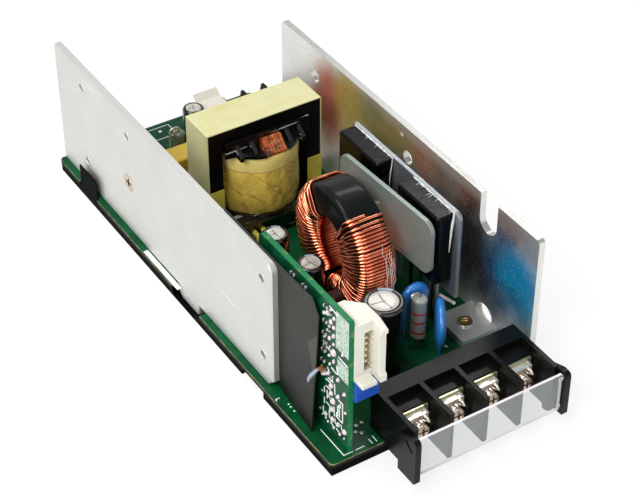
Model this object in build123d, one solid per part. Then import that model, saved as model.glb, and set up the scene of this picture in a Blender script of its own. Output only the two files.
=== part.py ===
from build123d import *
import math
import os

# Open switching power supply: a main board on a black insulating sheet, carried between two
# aluminium side plates, with its transformer, choke, power devices and screw terminals in view.
# Millimetres. X runs across the board, Y from the front terminals to the rear, Z up.
# The functions work from the board's front left corner, with z = 0 on the top of the board.

# Main board and the sheet under it
BOARD_LENGTH = 160.0
BOARD_WIDTH = 70.4
BOARD_THICKNESS = 1.6
BOARD_CORNER = 0.8
SOLDER_GAP = 2.4
SHEET_THICKNESS = 0.4
SHEET_INSET = 0.3
SHEET_NOTCH_FRONT = 35.0
SHEET_NOTCH_LENGTH = 11.5
SHEET_NOTCH_DEPTH = 3.0
SHEET_TAB_FRONT = 134.4
SHEET_TAB_LENGTH = 11.2
SHEET_TAB_HEIGHT = 6.4
FIT = 0.3

# Side plates
PLATE_THICKNESS = 2.0
PLATE_HEIGHT = 42.2
LEFT_HEIGHT = 42.9
LEFT_INSET = 2.0
LEFT_FRONT = 32.4
FOOT_FRONT = 73.6
FOOT_LENGTH = 12.4
FOOT_CORNER = 2.2
PLATE_CORNER = 2.6
EDGE_BREAK = 0.35
TAP_RADIUS = 1.25
TAP_SPACING_Y = 105.0
TAP_SPACING_Z = 27.0
TAP_FIRST_Y = 37.4
TAP_FIRST_Z = 9.1
CENTRE_TAP_Y = 113.4
CENTRE_TAP_Z = 35.6
RIGHT_INSET = 0.8
RIGHT_FRONT = 4.5
RIGHT_LENGTH = 130.0
SLOT_FRONT = 22.6
SLOT_WIDTH = 7.7
SLOT_DEPTH = 11.7
RIGHT_HOLE_RADIUS = 2.2
RIGHT_HOLE_Y = 65.1
RIGHT_HOLE_SPACING = 50.0
RIGHT_HOLE_Z = 32.4
DIMPLE_RADIUS = 0.9
DIMPLE_Y = 68.3
DIMPLE_Z = 38.9
TAB_WIDTH = 13.4
TAB_REACH = 12.0
FRONT_TAB_Y = 25.3
REAR_TAB_Y = 119.6
TAB_RELIEF_RADIUS = 3.6

# Fasteners
M3_RADIUS = 1.5
M3_CLEARANCE_RADIUS = 1.7
THREAD_CLEARANCE = 0.05
INSERT_RADIUS = 2.5
INSERT_HEIGHT = 0.5
PAN_HEAD_RADIUS = 2.8
PAN_HEAD_HEIGHT = 1.9
CROSS_WIDTH = 0.7
CROSS_LENGTH = 2.9
COUNTERSUNK_RADIUS = 3.0
NUT_RADIUS = 3.1
NUT_HEIGHT = 2.4

# Device behind the left plate
PRIMARY_Y = 114.4
PRIMARY_SCREW_Z = 18.4
DEVICE_WIDTH = 15.6
DEVICE_HEIGHT = 20.0
DEVICE_THICKNESS = 4.7
DEVICE_HOLE_DROP = 5.6
DEVICE_TAB_THICKNESS = 2.0
LEAD_WIDTH = 1.1
LEAD_THICKNESS = 0.6
LEAD_PITCH = 5.4
PAD_THICKNESS = 0.4

# Control board, header and trimmer
CARD_THICKNESS = 1.6
CARD_LEFT = 5.9
CARD_FRONT = 1.6
CARD_LENGTH = 43.4
CARD_HEIGHT = 45.2
CARD_CORNER = 2.0
HEADER_PINS = 6
HEADER_PITCH = 2.0
HEADER_END = 4.2
HEADER_REACH = 7.4
HEADER_DEPTH = 10.4
HEADER_FRONT = 1.2
HEADER_BOTTOM = 24.9
HEADER_WALL = 2.2
HEADER_CARD_WALL = 2.9
HEADER_OUTER_WALL = 2.0
HEADER_RECESS = 7.0
HEADER_FLANGE = 3.8
HEADER_SHELF = 1.2
HEADER_SLIT = 0.9
PIN_SIZE = 0.64
TRIMMER_REACH = 7.2
TRIMMER_DEPTH = 7.2
TRIMMER_HEIGHT = 6.6
TRIMMER_FRONT = 0.4
TRIMMER_GAP = 0.3
ROTOR_RADIUS = 1.6
ROTOR_DEPTH = 1.2
ROTOR_PROUD = 0.25
ROTOR_CLEARANCE = 0.08
FILM_THICKNESS = 0.4
FILM_GAP = 0.1
FILM_FRONT = 13.2
FILM_REAR = 60.0
FILM_HEIGHT = 43.4
FILM_FOOT_X = 2.1
FILM_TOP_X = 4.5
SENSE_Y = 11.2
SENSE_Z = 21.0
SENSE_LENGTH = 5.2
SENSE_DROP = 2.6
SENSE_RADIUS = 0.8

# Transformer
CORE_INSET = 47.0  # from the right plate to the core's left side; other insets start there too
CORE_WIDTH = 39.0
CORE_FRONT = 98.9
CORE_THICKNESS = 12.8
CORE_FOOT = 0.3
CORE_HEIGHT = 36.4
CORE_LEG = 4.7
CORE_YOKE = 5.2
POST_RADIUS = 5.6
TAPE_THICKNESS = 0.3
LEG_TAPE_LOW = 4.6
LEG_TAPE_HIGH = 16.5
COIL_RADIUS = 13.5
COIL_LOW = 6.8
COIL_HEADROOM = 3.9
COIL_STEP_DROP = 3.6
COIL_STEP = 0.35
BOBBIN_WALL = 1.2
BOBBIN_FLANGE = 1.2
BOBBIN_BASE_DEPTH = 30.0
BOBBIN_BASE_WIDTH = 29.0
BOBBIN_RIM_HEIGHT = 4.4
COPPER_WIDTH = 7.4
COPPER_SHIFT = 0.3
COPPER_STRANDS = 6
RIB_WIDTH = 1.2
RIB_REACH = 4.2
RIB_PLACES = (-0.74, -0.4, 0.44, 0.74)  # parts of the core window's half width
COIL_LEAD_Z = 3.6
COIL_LEAD_REACH = 3.2
COIL_LEAD_RADIUS = 0.9
COIL_LEAD_PLACES = (-9.5, -6.5)

# Choke
CHOKE_INSET = 28.4
CHOKE_Y = 54.1
CHOKE_YAW = -4.0
CHOKE_RADIUS = 19.2
CHOKE_BORE = 9.8
CHOKE_HALF_WIDTH = 5.6
CHOKE_EDGE = 1.2
WIRE = 1.5
WINDING_BASE = 0.45
WINDING_GAP = 0.08
TURNS = 28
REAR_START = 34.0
FRONT_START = 31.0
WINDING_END = 172.0
CHOKE_SINK = 0.2
LEAD_SLEEVE_RADIUS = 2.1
LEAD_SLEEVE_Z = 12.0
LEAD_SLEEVE_FORWARD = 10.0
LEAD_SLEEVE_LENGTH = 8.6
LEAD_SLEEVE_GAP = 0.9

# Power devices between the heat-sink plate and the clamp plate
SINK_INSET = 9.6
SINK_THICKNESS = 1.3
SINK_FRONT = 27.0
SINK_LENGTH = 52.6
SINK_TOP = 40.2
SINK_BOTTOM = 11.0
SINK_FEET = (38.0, 56.0, 74.0)
SINK_FOOT = 4.4
SINK_CORNER = 2.2
SLEEVE_WIDTH = 19.8
SLEEVE_THICKNESS = 5.7
SLEEVE_TOP = 39.9
SLEEVE_BOTTOM = 17.0
SLEEVE_WALL = 0.4
SLEEVE_CORNER = 1.0
FRONT_DEVICE_Y = 38.8
REAR_DEVICE_Y = 68.4
CLAMP_LENGTH = 42.4
CLAMP_BOTTOM = 21.0
CLAMP_TOP = 38.8
CLAMP_THICKNESS = 1.4
CLAMP_CORNER = 3.4
CLAMP_Y = 49.8
CLAMP_YAW = 2.7
CLAMP_GAP = 1.8
CLAMP_SCREW_Y = 54.0
CLAMP_SCREW_Z = 29.0

# Small parts
SMALL_CAP_RADIUS = 4.0
SMALL_CAP_HEIGHT = 22.0
FRONT_CAP_RADIUS = 6.0
FRONT_CAP_HEIGHT = 23.0
REAR_CAP_RADIUS = 3.4
REAR_CAP_HEIGHT = 16.0
CAP_TOP_SHARE = 0.7
CAP_BEAD_Z = 2.0
RESISTOR_RADIUS = 2.3
RESISTOR_LENGTH = 15.0
RESISTOR_STAND = 2.6
REAR_RESISTOR_RADIUS = 2.0
REAR_RESISTOR_LENGTH = 14.0
WIRE_RADIUS = 0.4
LOOP_RISE = 1.5
LOOP_REACH = 3.1
DISC_LEAD_SPACING = 5.0
REAR_OUTPUT_CAP_INSET = 43.7
REAR_OUTPUT_CAP_Y = 66.9
MIDDLE_OUTPUT_CAP_INSET = 42.1
MIDDLE_OUTPUT_CAP_Y = 50.7
FRONT_CAP_INSET = 34.8
FRONT_CAP_Y = 25.4
INPUT_CAP_INSET = 28.6
INPUT_CAP_Y = 141.6
FRONT_RESISTOR_INSET = 21.7
FRONT_RESISTOR_Y = 26.8
REAR_RESISTOR_X = 28.6
REAR_RESISTOR_Y = 132.0
LEFT_DISC_INSET = 19.2
LEFT_DISC_Y = 32.6
LEFT_DISC_RADIUS = 4.6
LEFT_DISC_STAND = 7.6
RIGHT_DISC_INSET = 17.8
RIGHT_DISC_Y = 22.2
RIGHT_DISC_RADIUS = 7.3
RIGHT_DISC_TURN = 57.5
DISC_THICKNESS = 3.0
DISC_STAND = 2.0
REAR_DISC_X = 22.6
REAR_DISC_Y = 135.6
REAR_DISC_RADIUS = 3.4
REAR_DISC_THICKNESS = 2.6
REAR_DISC_TURN = 20.0
FUSE_X = 15.0
FUSE_Z = 4.2
FUSE_RADIUS = 2.6
FUSE_FRONT = 120.0
FUSE_LENGTH = 20.0
FUSE_CAP_LENGTH = 5.5
FUSE_CLIP_LENGTH = 3.0
FILTER_CHOKE_INSET = 20.0
FILTER_CHOKE_Y = 128.3
FILTER_CHOKE_RADIUS = 6.4
FILTER_CHOKE_HEIGHT = 12.0
FILTER_CHOKE_FLANGE = 1.4
FILTER_CHOKE_WAIST = 5.0
FILM_BOX_DEPTH = 8.0
FILM_BOX_HEIGHT = 14.0
FILM_BOX_GAP = 0.8
FILM_BOX_LEFT_GAP = 1.9
FILM_BOX_RIGHT_GAP = 3.7
CHIP_ROWS = 13
CHIP_COLUMNS = 3
CHIP_ROW_PITCH = 3.0
CHIP_COLUMN_PITCH = 3.6
CHIP_FIRST_Y = 4.2
CHIP_FIRST_Z = 4.0

# Screw terminals
POLES = 4
POLE_PITCH = 11.25
TERMINAL_INSET = 54.0
TERMINAL_WALL = 1.4
TERMINAL_TOP = 14.6
TERMINAL_REAR = 6.6
TERMINAL_FRONT = -13.2
TERMINAL_DECK_Y = 1.0
TERMINAL_DECK_Z = 12.0
TERMINAL_FACE_Y = -3.4
TERMINAL_SILL_DROP = 1.1
EAR_THICKNESS = 1.8
EAR_FRONT = -16.7
EAR_LENGTH = 4.2
EAR_BOTTOM = -1.0
EAR_SLOT = 0.8
HOOK_DROP = 1.4
SCREW_Z = 7.4
STRAP_WIDTH = 9.2
STRAP_THICKNESS = 0.8
STRAP_HEIGHT = 8.4
SADDLE_WIDTH = 6.8
SADDLE_HEIGHT = 7.0
SADDLE_THICKNESS = 0.9
SADDLE_LIP = 2.0
WASHER_RADIUS = 2.7
WASHER_THICKNESS = 0.7
COVER_THICKNESS = 1.1
COVER_TOP = 13.2
COVER_BOTTOM = 0.3
COVER_CLEARANCE = 0.3
COVER_PIVOT_Z = 12.0
COVER_PIVOT_RADIUS = 0.8
COVER_PIVOT_CLEARANCE = 0.06
COVER_BLIND = 1.3

# Input terminals at the rear
INPUT_POLES = 3
INPUT_PITCH = 7.6
INPUT_INSET = 23.8
INPUT_FRONT = 136.0
INPUT_DEPTH = 12.0
INPUT_TOP = 12.4
INPUT_DECK = 6.4
INPUT_WALL = 1.0
INPUT_STRAP = 0.8

RIGHT_OUTER = BOARD_WIDTH - RIGHT_INSET
RIGHT_INNER = RIGHT_OUTER - PLATE_THICKNESS
LEFT_INNER = LEFT_INSET + PLATE_THICKNESS
CORE_LEFT = RIGHT_INNER - CORE_INSET
CORE_TOP = CORE_FOOT + CORE_HEIGHT + TAPE_THICKNESS
COIL_HIGH = CORE_FOOT + CORE_HEIGHT - CORE_YOKE - COIL_HEADROOM
COIL_STEP_Z = COIL_HIGH - COIL_STEP_DROP
CHOKE_X = RIGHT_INNER - CHOKE_INSET
SINK_X = RIGHT_INNER - SINK_INSET
TERMINAL_LEFT = BOARD_WIDTH - TERMINAL_INSET
INPUT_LEFT = RIGHT_INNER - INPUT_INSET
FILTER_CHOKE_X = RIGHT_INNER - FILTER_CHOKE_INSET
CARD_RIGHT = CARD_LEFT + CARD_THICKNESS
BOARD_TOP = SHEET_THICKNESS + SOLDER_GAP + BOARD_THICKNESS
SHEET_TOP = SHEET_THICKNESS - BOARD_TOP
TERMINAL_WIDTH = POLES * POLE_PITCH + TERMINAL_WALL
HEADER_HEIGHT = (HEADER_PINS - 1) * HEADER_PITCH + 2 * HEADER_END
COVER_LEFT = TERMINAL_LEFT + COVER_CLEARANCE
COVER_WIDTH = TERMINAL_WIDTH - 2 * COVER_CLEARANCE
COVER_PIVOT_Y = (EAR_FRONT + TERMINAL_FRONT) / 2
MID_X = BOARD_WIDTH / 2
MID_Y = (BOARD_LENGTH + EAR_FRONT) / 2


def bar(x, y, z):
    """A straight bar between the lowest and highest corners, each given as a pair of limits."""
    size = [high - low for low, high in (x, y, z)]
    middle = [(high + low) / 2 for low, high in (x, y, z)]
    return Pos(*middle) * Box(*size)


def face(*points):
    return make_face(Polyline(*points, close=True))


def round_corner(sketch, corner, radius):
    nearest = sketch.vertices().sort_by_distance(Vector(*corner))[0]
    return fillet(nearest, radius)


def cut_corner(sketch, corner, length):
    nearest = sketch.vertices().sort_by_distance(Vector(*corner))[0]
    return chamfer(nearest, length)


def sheet_yz(sketch, x, thickness):
    """Thickens an outline drawn in (y, z) towards +X, starting at x."""
    return extrude(Plane.YZ.offset(x) * sketch, amount=thickness)


def rod_x(y, z, radius, low, high):
    return extrude(Plane.YZ.offset(low) * Pos(y, z) * Circle(radius), amount=high - low)


def rod_z(x, y, radius, low, high):
    return extrude(Plane.XY.offset(low) * Pos(x, y) * Circle(radius), amount=high - low)


def wire(points, bends, radius):
    """A round wire along straight runs joined by arcs."""
    path = FilletPolyline(*points, radius=bends)
    start = Plane(origin=path @ 0, z_dir=path % 0)
    return sweep(start * Circle(radius), path=path)


def cross_recess(radius_length, depth):
    """The two crossed blades cut into a screw head, pointing down from z = 0."""
    along = Box(radius_length, CROSS_WIDTH, 2 * depth)
    return along + Rot(0, 0, 90) * along


def pan_screw(length, head_radius=PAN_HEAD_RADIUS, head_height=PAN_HEAD_HEIGHT):
    """A pan-head screw standing on z = 0 under its head, with the shank below."""
    crown = head_radius * 0.62
    head = revolve(
        Plane.XZ
        * make_face(
            Polyline((0, 0), (head_radius, 0), (head_radius, head_height * 0.45))
            + ThreePointArc(
                (head_radius, head_height * 0.45),
                (head_radius * 0.88, head_height * 0.86),
                (crown, head_height),
            )
            + Polyline((crown, head_height), (0, head_height), (0, 0))
        ),
        Axis.Z,
    )
    shank = rod_z(0, 0, M3_RADIUS, -length, 0)
    return head + shank - Pos(0, 0, head_height) * cross_recess(CROSS_LENGTH, head_height * 0.45)


def main_board():
    outline = Pos(BOARD_WIDTH / 2, BOARD_LENGTH / 2) * Rectangle(BOARD_WIDTH, BOARD_LENGTH)
    outline = chamfer(outline.vertices(), BOARD_CORNER)
    foot_room = FOOT_LENGTH + 4.0
    foot_depth = LEFT_INNER + FIT
    outline -= Pos(foot_depth / 2, FOOT_FRONT + foot_room / 2 - 4.0 + FIT) * Rectangle(
        foot_depth, foot_room
    )
    tab_depth = SHEET_INSET + SHEET_THICKNESS + FIT
    tab_middle = SHEET_TAB_FRONT + SHEET_TAB_LENGTH / 2
    outline -= Pos(tab_depth / 2, tab_middle) * Rectangle(tab_depth, SHEET_TAB_LENGTH + 1.0)
    for y in (FRONT_TAB_Y, REAR_TAB_Y):
        outline -= Pos(tab_screw_x(), y) * Circle(M3_CLEARANCE_RADIUS)
    return extrude(Plane.XY.offset(-BOARD_THICKNESS) * outline, amount=BOARD_THICKNESS)


def insulating_sheet():
    """A film tray folded up along its front and left edges, with a taller tab at the left."""
    low = SHEET_INSET
    far_x = BOARD_WIDTH - SHEET_INSET
    far_y = BOARD_LENGTH - SHEET_INSET
    lip_top = -BOARD_THICKNESS
    inner = low + SHEET_THICKNESS
    floor = bar((low, far_x), (low, far_y), (-BOARD_TOP, SHEET_TOP))
    front_lip = bar((low, far_x), (low, inner), (-BOARD_TOP, lip_top))
    rear_lip = bar((low, far_x), (far_y - SHEET_THICKNESS, far_y), (-BOARD_TOP, lip_top))
    left_lip = bar((low, inner), (low, far_y), (-BOARD_TOP, lip_top))
    right_lip = bar((far_x - SHEET_THICKNESS, far_x), (low, far_y), (-BOARD_TOP, lip_top))
    tab = sheet_yz(
        cut_corner(
            face(
                (SHEET_TAB_FRONT, -BOARD_TOP),
                (SHEET_TAB_FRONT + SHEET_TAB_LENGTH, -BOARD_TOP),
                (SHEET_TAB_FRONT + SHEET_TAB_LENGTH, SHEET_TAB_HEIGHT),
                (SHEET_TAB_FRONT, SHEET_TAB_HEIGHT),
            ),
            (SHEET_TAB_FRONT, SHEET_TAB_HEIGHT),
            1.5,
        ),
        low,
        SHEET_THICKNESS,
    )
    notch = bar(
        (0, low + SHEET_NOTCH_DEPTH),
        (SHEET_NOTCH_FRONT, SHEET_NOTCH_FRONT + SHEET_NOTCH_LENGTH),
        (-BOARD_TOP - 1, 0),
    )
    foot_room = bar(
        (0, LEFT_INNER + FIT),
        (FOOT_FRONT - FIT, FOOT_FRONT + FOOT_LENGTH + FIT),
        (SHEET_TOP, 0),
    )
    return floor + front_lip + rear_lip + left_lip + right_lip + tab - notch - foot_room


def left_plate_outline():
    rear = BOARD_LENGTH
    foot_rear = FOOT_FRONT + FOOT_LENGTH
    outline = face(
        (LEFT_FRONT, 0),
        (FOOT_FRONT, 0),
        (FOOT_FRONT, SHEET_TOP),
        (foot_rear, SHEET_TOP),
        (foot_rear, 0),
        (rear, 0),
        (rear, LEFT_HEIGHT),
        (LEFT_FRONT, LEFT_HEIGHT),
    )
    outline = cut_corner(outline, (LEFT_FRONT, 0), PLATE_CORNER)
    outline = cut_corner(outline, (FOOT_FRONT, SHEET_TOP), 0.8)
    outline = cut_corner(outline, (foot_rear, SHEET_TOP), FOOT_CORNER)
    outline = round_corner(outline, (LEFT_FRONT, LEFT_HEIGHT), PLATE_CORNER)
    return round_corner(outline, (rear, LEFT_HEIGHT), PLATE_CORNER / 2)


def tap_places():
    first, last = TAP_FIRST_Y, TAP_FIRST_Y + TAP_SPACING_Y
    low, high = TAP_FIRST_Z, TAP_FIRST_Z + TAP_SPACING_Z
    return [(first, low), (last, low), (first, high), (last, high)]


def countersink(radius_shrink=0.0):
    """The cone of the countersunk screw, from the plate's outer face inwards along X."""
    mouth = COUNTERSUNK_RADIUS - radius_shrink
    depth = COUNTERSUNK_RADIUS - M3_CLEARANCE_RADIUS
    cone = Cone(mouth, mouth - depth, depth, align=(Align.CENTER, Align.CENTER, Align.MIN))
    return Pos(LEFT_INSET, PRIMARY_Y, PRIMARY_SCREW_Z) * Rot(0, 90, 0) * cone


def left_heat_plate():
    plate = sheet_yz(left_plate_outline(), LEFT_INSET, PLATE_THICKNESS)
    outer = plate.faces().sort_by(Axis.X)[0]
    plate = chamfer(outer.edges(), EDGE_BREAK)
    past = (LEFT_INSET - 1, LEFT_INNER + 1)
    for y, z in tap_places() + [(CENTRE_TAP_Y, CENTRE_TAP_Z)]:
        plate -= rod_x(y, z, TAP_RADIUS, *past)
    plate -= rod_x(PRIMARY_Y, PRIMARY_SCREW_Z, M3_CLEARANCE_RADIUS, *past)
    return plate - countersink()


def countersunk_screw():
    """Flat head flush with the plate, shank through the plate and the device into its nut."""
    tip = LEFT_INNER + PAD_THICKNESS + DEVICE_THICKNESS + NUT_HEIGHT + 1.0
    screw = countersink(FIT / 4) + rod_x(PRIMARY_Y, PRIMARY_SCREW_Z, M3_RADIUS, LEFT_INSET, tip)
    cross = Rot(0, -90, 0) * cross_recess(CROSS_LENGTH, 1.0)
    return screw - Pos(LEFT_INSET, PRIMARY_Y, PRIMARY_SCREW_Z) * cross


def hex_nut_x(x, y, z):
    body = Plane.YZ.offset(x) * Pos(y, z) * RegularPolygon(NUT_RADIUS, 6)
    return extrude(body, amount=NUT_HEIGHT) - rod_x(y, z, M3_RADIUS, x - 1, x + NUT_HEIGHT + 1)


def device_nut():
    back = LEFT_INNER + PAD_THICKNESS + DEVICE_THICKNESS
    return hex_nut_x(back, PRIMARY_Y, PRIMARY_SCREW_Z)


def insulating_pad():
    low = PRIMARY_SCREW_Z + DEVICE_HOLE_DROP - DEVICE_HEIGHT - 1.0
    outline = Pos(PRIMARY_Y, low + (DEVICE_HEIGHT + 2.0) / 2) * RectangleRounded(
        DEVICE_WIDTH + 2.0, DEVICE_HEIGHT + 2.0, 1.0
    )
    outline -= Pos(PRIMARY_Y, PRIMARY_SCREW_Z) * Circle(M3_CLEARANCE_RADIUS)
    return sheet_yz(outline, LEFT_INNER, PAD_THICKNESS)


def device_body(top, hole_z):
    """Moulded package against x = 0, centred on y = 0, its metal tab towards x = 0."""
    low = top - DEVICE_HEIGHT
    outline = Pos(0, (top + low) / 2) * Rectangle(DEVICE_WIDTH, DEVICE_HEIGHT)
    outline = cut_corner(outline, (-DEVICE_WIDTH / 2, top), 1.6)
    outline = cut_corner(outline, (DEVICE_WIDTH / 2, top), 1.6)
    tab = sheet_yz(outline, 0, DEVICE_TAB_THICKNESS)
    moulding = sheet_yz(offset(outline, -0.4), DEVICE_TAB_THICKNESS,
                        DEVICE_THICKNESS - DEVICE_TAB_THICKNESS)
    body = tab + moulding
    middle = DEVICE_THICKNESS / 2
    for step in (-1, 0, 1):
        y = step * LEAD_PITCH
        body += bar(
            (middle - LEAD_THICKNESS / 2, middle + LEAD_THICKNESS / 2),
            (y - LEAD_WIDTH / 2, y + LEAD_WIDTH / 2),
            (0, low + 1.0),
        )
    return body - rod_x(0, hole_z, M3_CLEARANCE_RADIUS, -1, DEVICE_THICKNESS + 1)


def primary_transistor():
    top = PRIMARY_SCREW_Z + DEVICE_HOLE_DROP
    return Pos(LEFT_INNER + PAD_THICKNESS, PRIMARY_Y) * device_body(top, PRIMARY_SCREW_Z)


def tab_screw_x():
    return RIGHT_INNER - TAB_REACH / 2 - 0.6


def right_plate_outline():
    rear = RIGHT_FRONT + RIGHT_LENGTH
    outline = face(
        (RIGHT_FRONT, 0), (rear, 0), (rear, PLATE_HEIGHT), (RIGHT_FRONT, PLATE_HEIGHT)
    )
    outline = round_corner(outline, (RIGHT_FRONT, PLATE_HEIGHT), PLATE_CORNER / 2)
    outline = round_corner(outline, (rear, PLATE_HEIGHT), PLATE_CORNER / 2)
    slot_middle = SLOT_FRONT + SLOT_WIDTH / 2
    slot_low = PLATE_HEIGHT - SLOT_DEPTH + SLOT_WIDTH / 2
    outline -= Pos(slot_middle, slot_low) * Circle(SLOT_WIDTH / 2)
    outline -= Pos(slot_middle, slot_low + SLOT_DEPTH) * Rectangle(SLOT_WIDTH, 2 * SLOT_DEPTH)
    for y in (FRONT_TAB_Y, REAR_TAB_Y):
        relief = Pos(y, PLATE_THICKNESS) * Circle(TAB_RELIEF_RADIUS)
        outline -= relief & Pos(y, PLATE_THICKNESS + TAB_RELIEF_RADIUS) * Rectangle(
            2 * TAB_RELIEF_RADIUS, 2 * TAB_RELIEF_RADIUS
        )
    return outline


def right_side_plate():
    """One folded sheet: the upright wall and the two tabs bent in over the board."""
    plate = sheet_yz(right_plate_outline(), RIGHT_INNER, PLATE_THICKNESS)
    past = (RIGHT_INNER - 1, RIGHT_OUTER + 1)
    for y in (RIGHT_HOLE_Y, RIGHT_HOLE_Y + RIGHT_HOLE_SPACING):
        plate -= rod_x(y, RIGHT_HOLE_Z, RIGHT_HOLE_RADIUS, *past)
    plate -= rod_x(DIMPLE_Y, DIMPLE_Z, DIMPLE_RADIUS, RIGHT_INNER - 1, RIGHT_INNER + 0.5)
    for y in (FRONT_TAB_Y, REAR_TAB_Y):
        outline = face(
            (RIGHT_INNER + PLATE_THICKNESS / 2, y - TAB_WIDTH / 2),
            (RIGHT_INNER + PLATE_THICKNESS / 2, y + TAB_WIDTH / 2),
            (RIGHT_INNER - TAB_REACH, y + TAB_WIDTH / 2),
            (RIGHT_INNER - TAB_REACH, y - TAB_WIDTH / 2),
        )
        outline = round_corner(outline, (RIGHT_INNER - TAB_REACH, y + TAB_WIDTH / 2), 0.8)
        outline = round_corner(outline, (RIGHT_INNER - TAB_REACH, y - TAB_WIDTH / 2), 0.8)
        outline -= Pos(tab_screw_x(), y) * Circle(M3_CLEARANCE_RADIUS)
        plate += extrude(outline, amount=PLATE_THICKNESS)
    return plate


def tab_inserts():
    """Round clinch nuts standing on the tabs, threaded from above and below."""
    inserts = []
    for y in (FRONT_TAB_Y, REAR_TAB_Y):
        ring = rod_z(tab_screw_x(), y, INSERT_RADIUS, PLATE_THICKNESS,
                     PLATE_THICKNESS + INSERT_HEIGHT)
        ring = fillet(ring.faces().sort_by(Axis.Z)[-1].edges(), 0.3)
        ring -= rod_z(tab_screw_x(), y, M3_RADIUS + THREAD_CLEARANCE, 0,
                      PLATE_THICKNESS + 3)
        inserts.append(ring)
    return inserts


def tab_screws():
    """Screws from under the board, up through it and the tab into the inserts' mouths."""
    screws = []
    for y in (FRONT_TAB_Y, REAR_TAB_Y):
        screw = pan_screw(BOARD_THICKNESS + PLATE_THICKNESS - 0.2)
        screws.append(Pos(tab_screw_x(), y, -BOARD_THICKNESS) * Rot(180, 0, 0) * screw)
    return screws


def insulating_film():
    """Thin film beside the control board: upright behind the plate, leaning out in front."""
    front = Plane.XZ.offset(-FILM_FRONT) * face(
        (FILM_FOOT_X, 0),
        (FILM_FOOT_X + FILM_THICKNESS, 0),
        (FILM_TOP_X + FILM_THICKNESS, FILM_HEIGHT),
        (FILM_TOP_X, FILM_HEIGHT),
    )
    flat_x = LEFT_INNER + FILM_GAP
    flat = Plane.XZ.offset(-LEFT_FRONT) * face(
        (flat_x, 0),
        (flat_x + FILM_THICKNESS, 0),
        (flat_x + FILM_THICKNESS, FILM_HEIGHT),
        (flat_x, FILM_HEIGHT),
    )
    leaning = loft([front, flat], ruled=True)
    upright = bar((flat_x, flat_x + FILM_THICKNESS), (LEFT_FRONT, FILM_REAR), (0, FILM_HEIGHT))
    corner = sheet_yz(
        face(
            (FILM_FRONT - 1, FILM_HEIGHT + 1),
            (FILM_FRONT - 1, FILM_HEIGHT - 5.0),
            (FILM_FRONT, FILM_HEIGHT - 4.0),
            (FILM_FRONT + 4.0, FILM_HEIGHT + 1),
        ),
        0,
        10,
    )
    return leaning + upright - corner


def control_board():
    rear = CARD_FRONT + CARD_LENGTH
    outline = face((CARD_FRONT, 0), (rear, 0), (rear, CARD_HEIGHT), (CARD_FRONT, CARD_HEIGHT))
    outline = round_corner(outline, (rear, CARD_HEIGHT), CARD_CORNER)
    outline = round_corner(outline, (CARD_FRONT, CARD_HEIGHT), CARD_CORNER / 4)
    return sheet_yz(outline, CARD_LEFT, CARD_THICKNESS)


def chip(y, z, length, height, thickness):
    """A small moulded chip on the control board's left face, with its solder ends."""
    body = bar(
        (CARD_LEFT - thickness, CARD_LEFT),
        (y - length / 2, y + length / 2),
        (z - height / 2, z + height / 2),
    )
    return body


def control_chips():
    """Rows of small surface parts, denser towards the front edge, and two larger circuits."""
    chips = [chip(20.0, 14.0, 5.0, 9.0, 1.0), chip(20.5, 31.0, 4.0, 5.0, 1.0)]
    for row in range(CHIP_ROWS):
        z = CHIP_FIRST_Z + CHIP_ROW_PITCH * row
        for column in range(CHIP_COLUMNS):
            y = CHIP_FIRST_Y + CHIP_COLUMN_PITCH * column
            near_sense = abs(y - SENSE_Y) < 2.4 and abs(z - SENSE_Z) < 2.4
            if not near_sense:
                turned = (row + column) % 2
                chips.append(chip(y, z, 1.0 + turned, 2.0 - turned, 0.5 + 0.1 * turned))
    return chips


def sense_lead():
    """A sleeved component lead that sticks out to the left of the control board."""
    start = (CARD_LEFT, SENSE_Y, SENSE_Z)
    direction = Vector(-SENSE_LENGTH, 0, -SENSE_DROP)
    plane = Plane(origin=start, z_dir=direction)
    rod = extrude(plane * Circle(SENSE_RADIUS), amount=direction.length)
    root = extrude(plane * Circle(SENSE_RADIUS), amount=-1.0)
    return (rod + root) & bar((0, CARD_LEFT), (0, 30), (0, 40))


def header_limits():
    """Limits of the header's recess across X, and of its whole height."""
    low = CARD_RIGHT + HEADER_CARD_WALL
    high = CARD_RIGHT + HEADER_REACH - HEADER_OUTER_WALL
    return (low, high), (HEADER_BOTTOM, HEADER_BOTTOM + HEADER_HEIGHT)


def header_housing():
    """Shrouded header: a deep recess towards the front, a shelf below and a tall outer lip."""
    left = CARD_RIGHT
    right = left + HEADER_REACH
    rear = HEADER_FRONT + HEADER_DEPTH
    lip_front = HEADER_FRONT - HEADER_FLANGE
    recess_x, (bottom, top) = header_limits()
    outline = face((left, HEADER_FRONT), (right, HEADER_FRONT), (right, rear), (left, rear))
    outline = cut_corner(outline, (right, rear), HEADER_REACH * 0.55)
    body = extrude(Plane.XY.offset(bottom) * outline, amount=HEADER_HEIGHT)
    lip = sheet_yz(
        face((HEADER_FRONT, bottom), (lip_front, bottom), (lip_front, bottom + HEADER_WALL),
             (lip_front + 0.8, bottom + HEADER_WALL + 0.6), (lip_front + 0.8, top - 3.0),
             (lip_front, top - 2.4), (lip_front, top - 1.2), (HEADER_FRONT, top)),
        right - HEADER_OUTER_WALL,
        HEADER_OUTER_WALL,
    )
    shelf = bar((left, recess_x[1] - HEADER_SLIT), (lip_front, HEADER_FRONT),
                (bottom, bottom + HEADER_SHELF))
    recess = bar(recess_x, (HEADER_FRONT - 1, HEADER_FRONT + HEADER_RECESS),
                 (bottom + HEADER_WALL, top - HEADER_WALL - 1.0))
    return body + lip + shelf - recess


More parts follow.
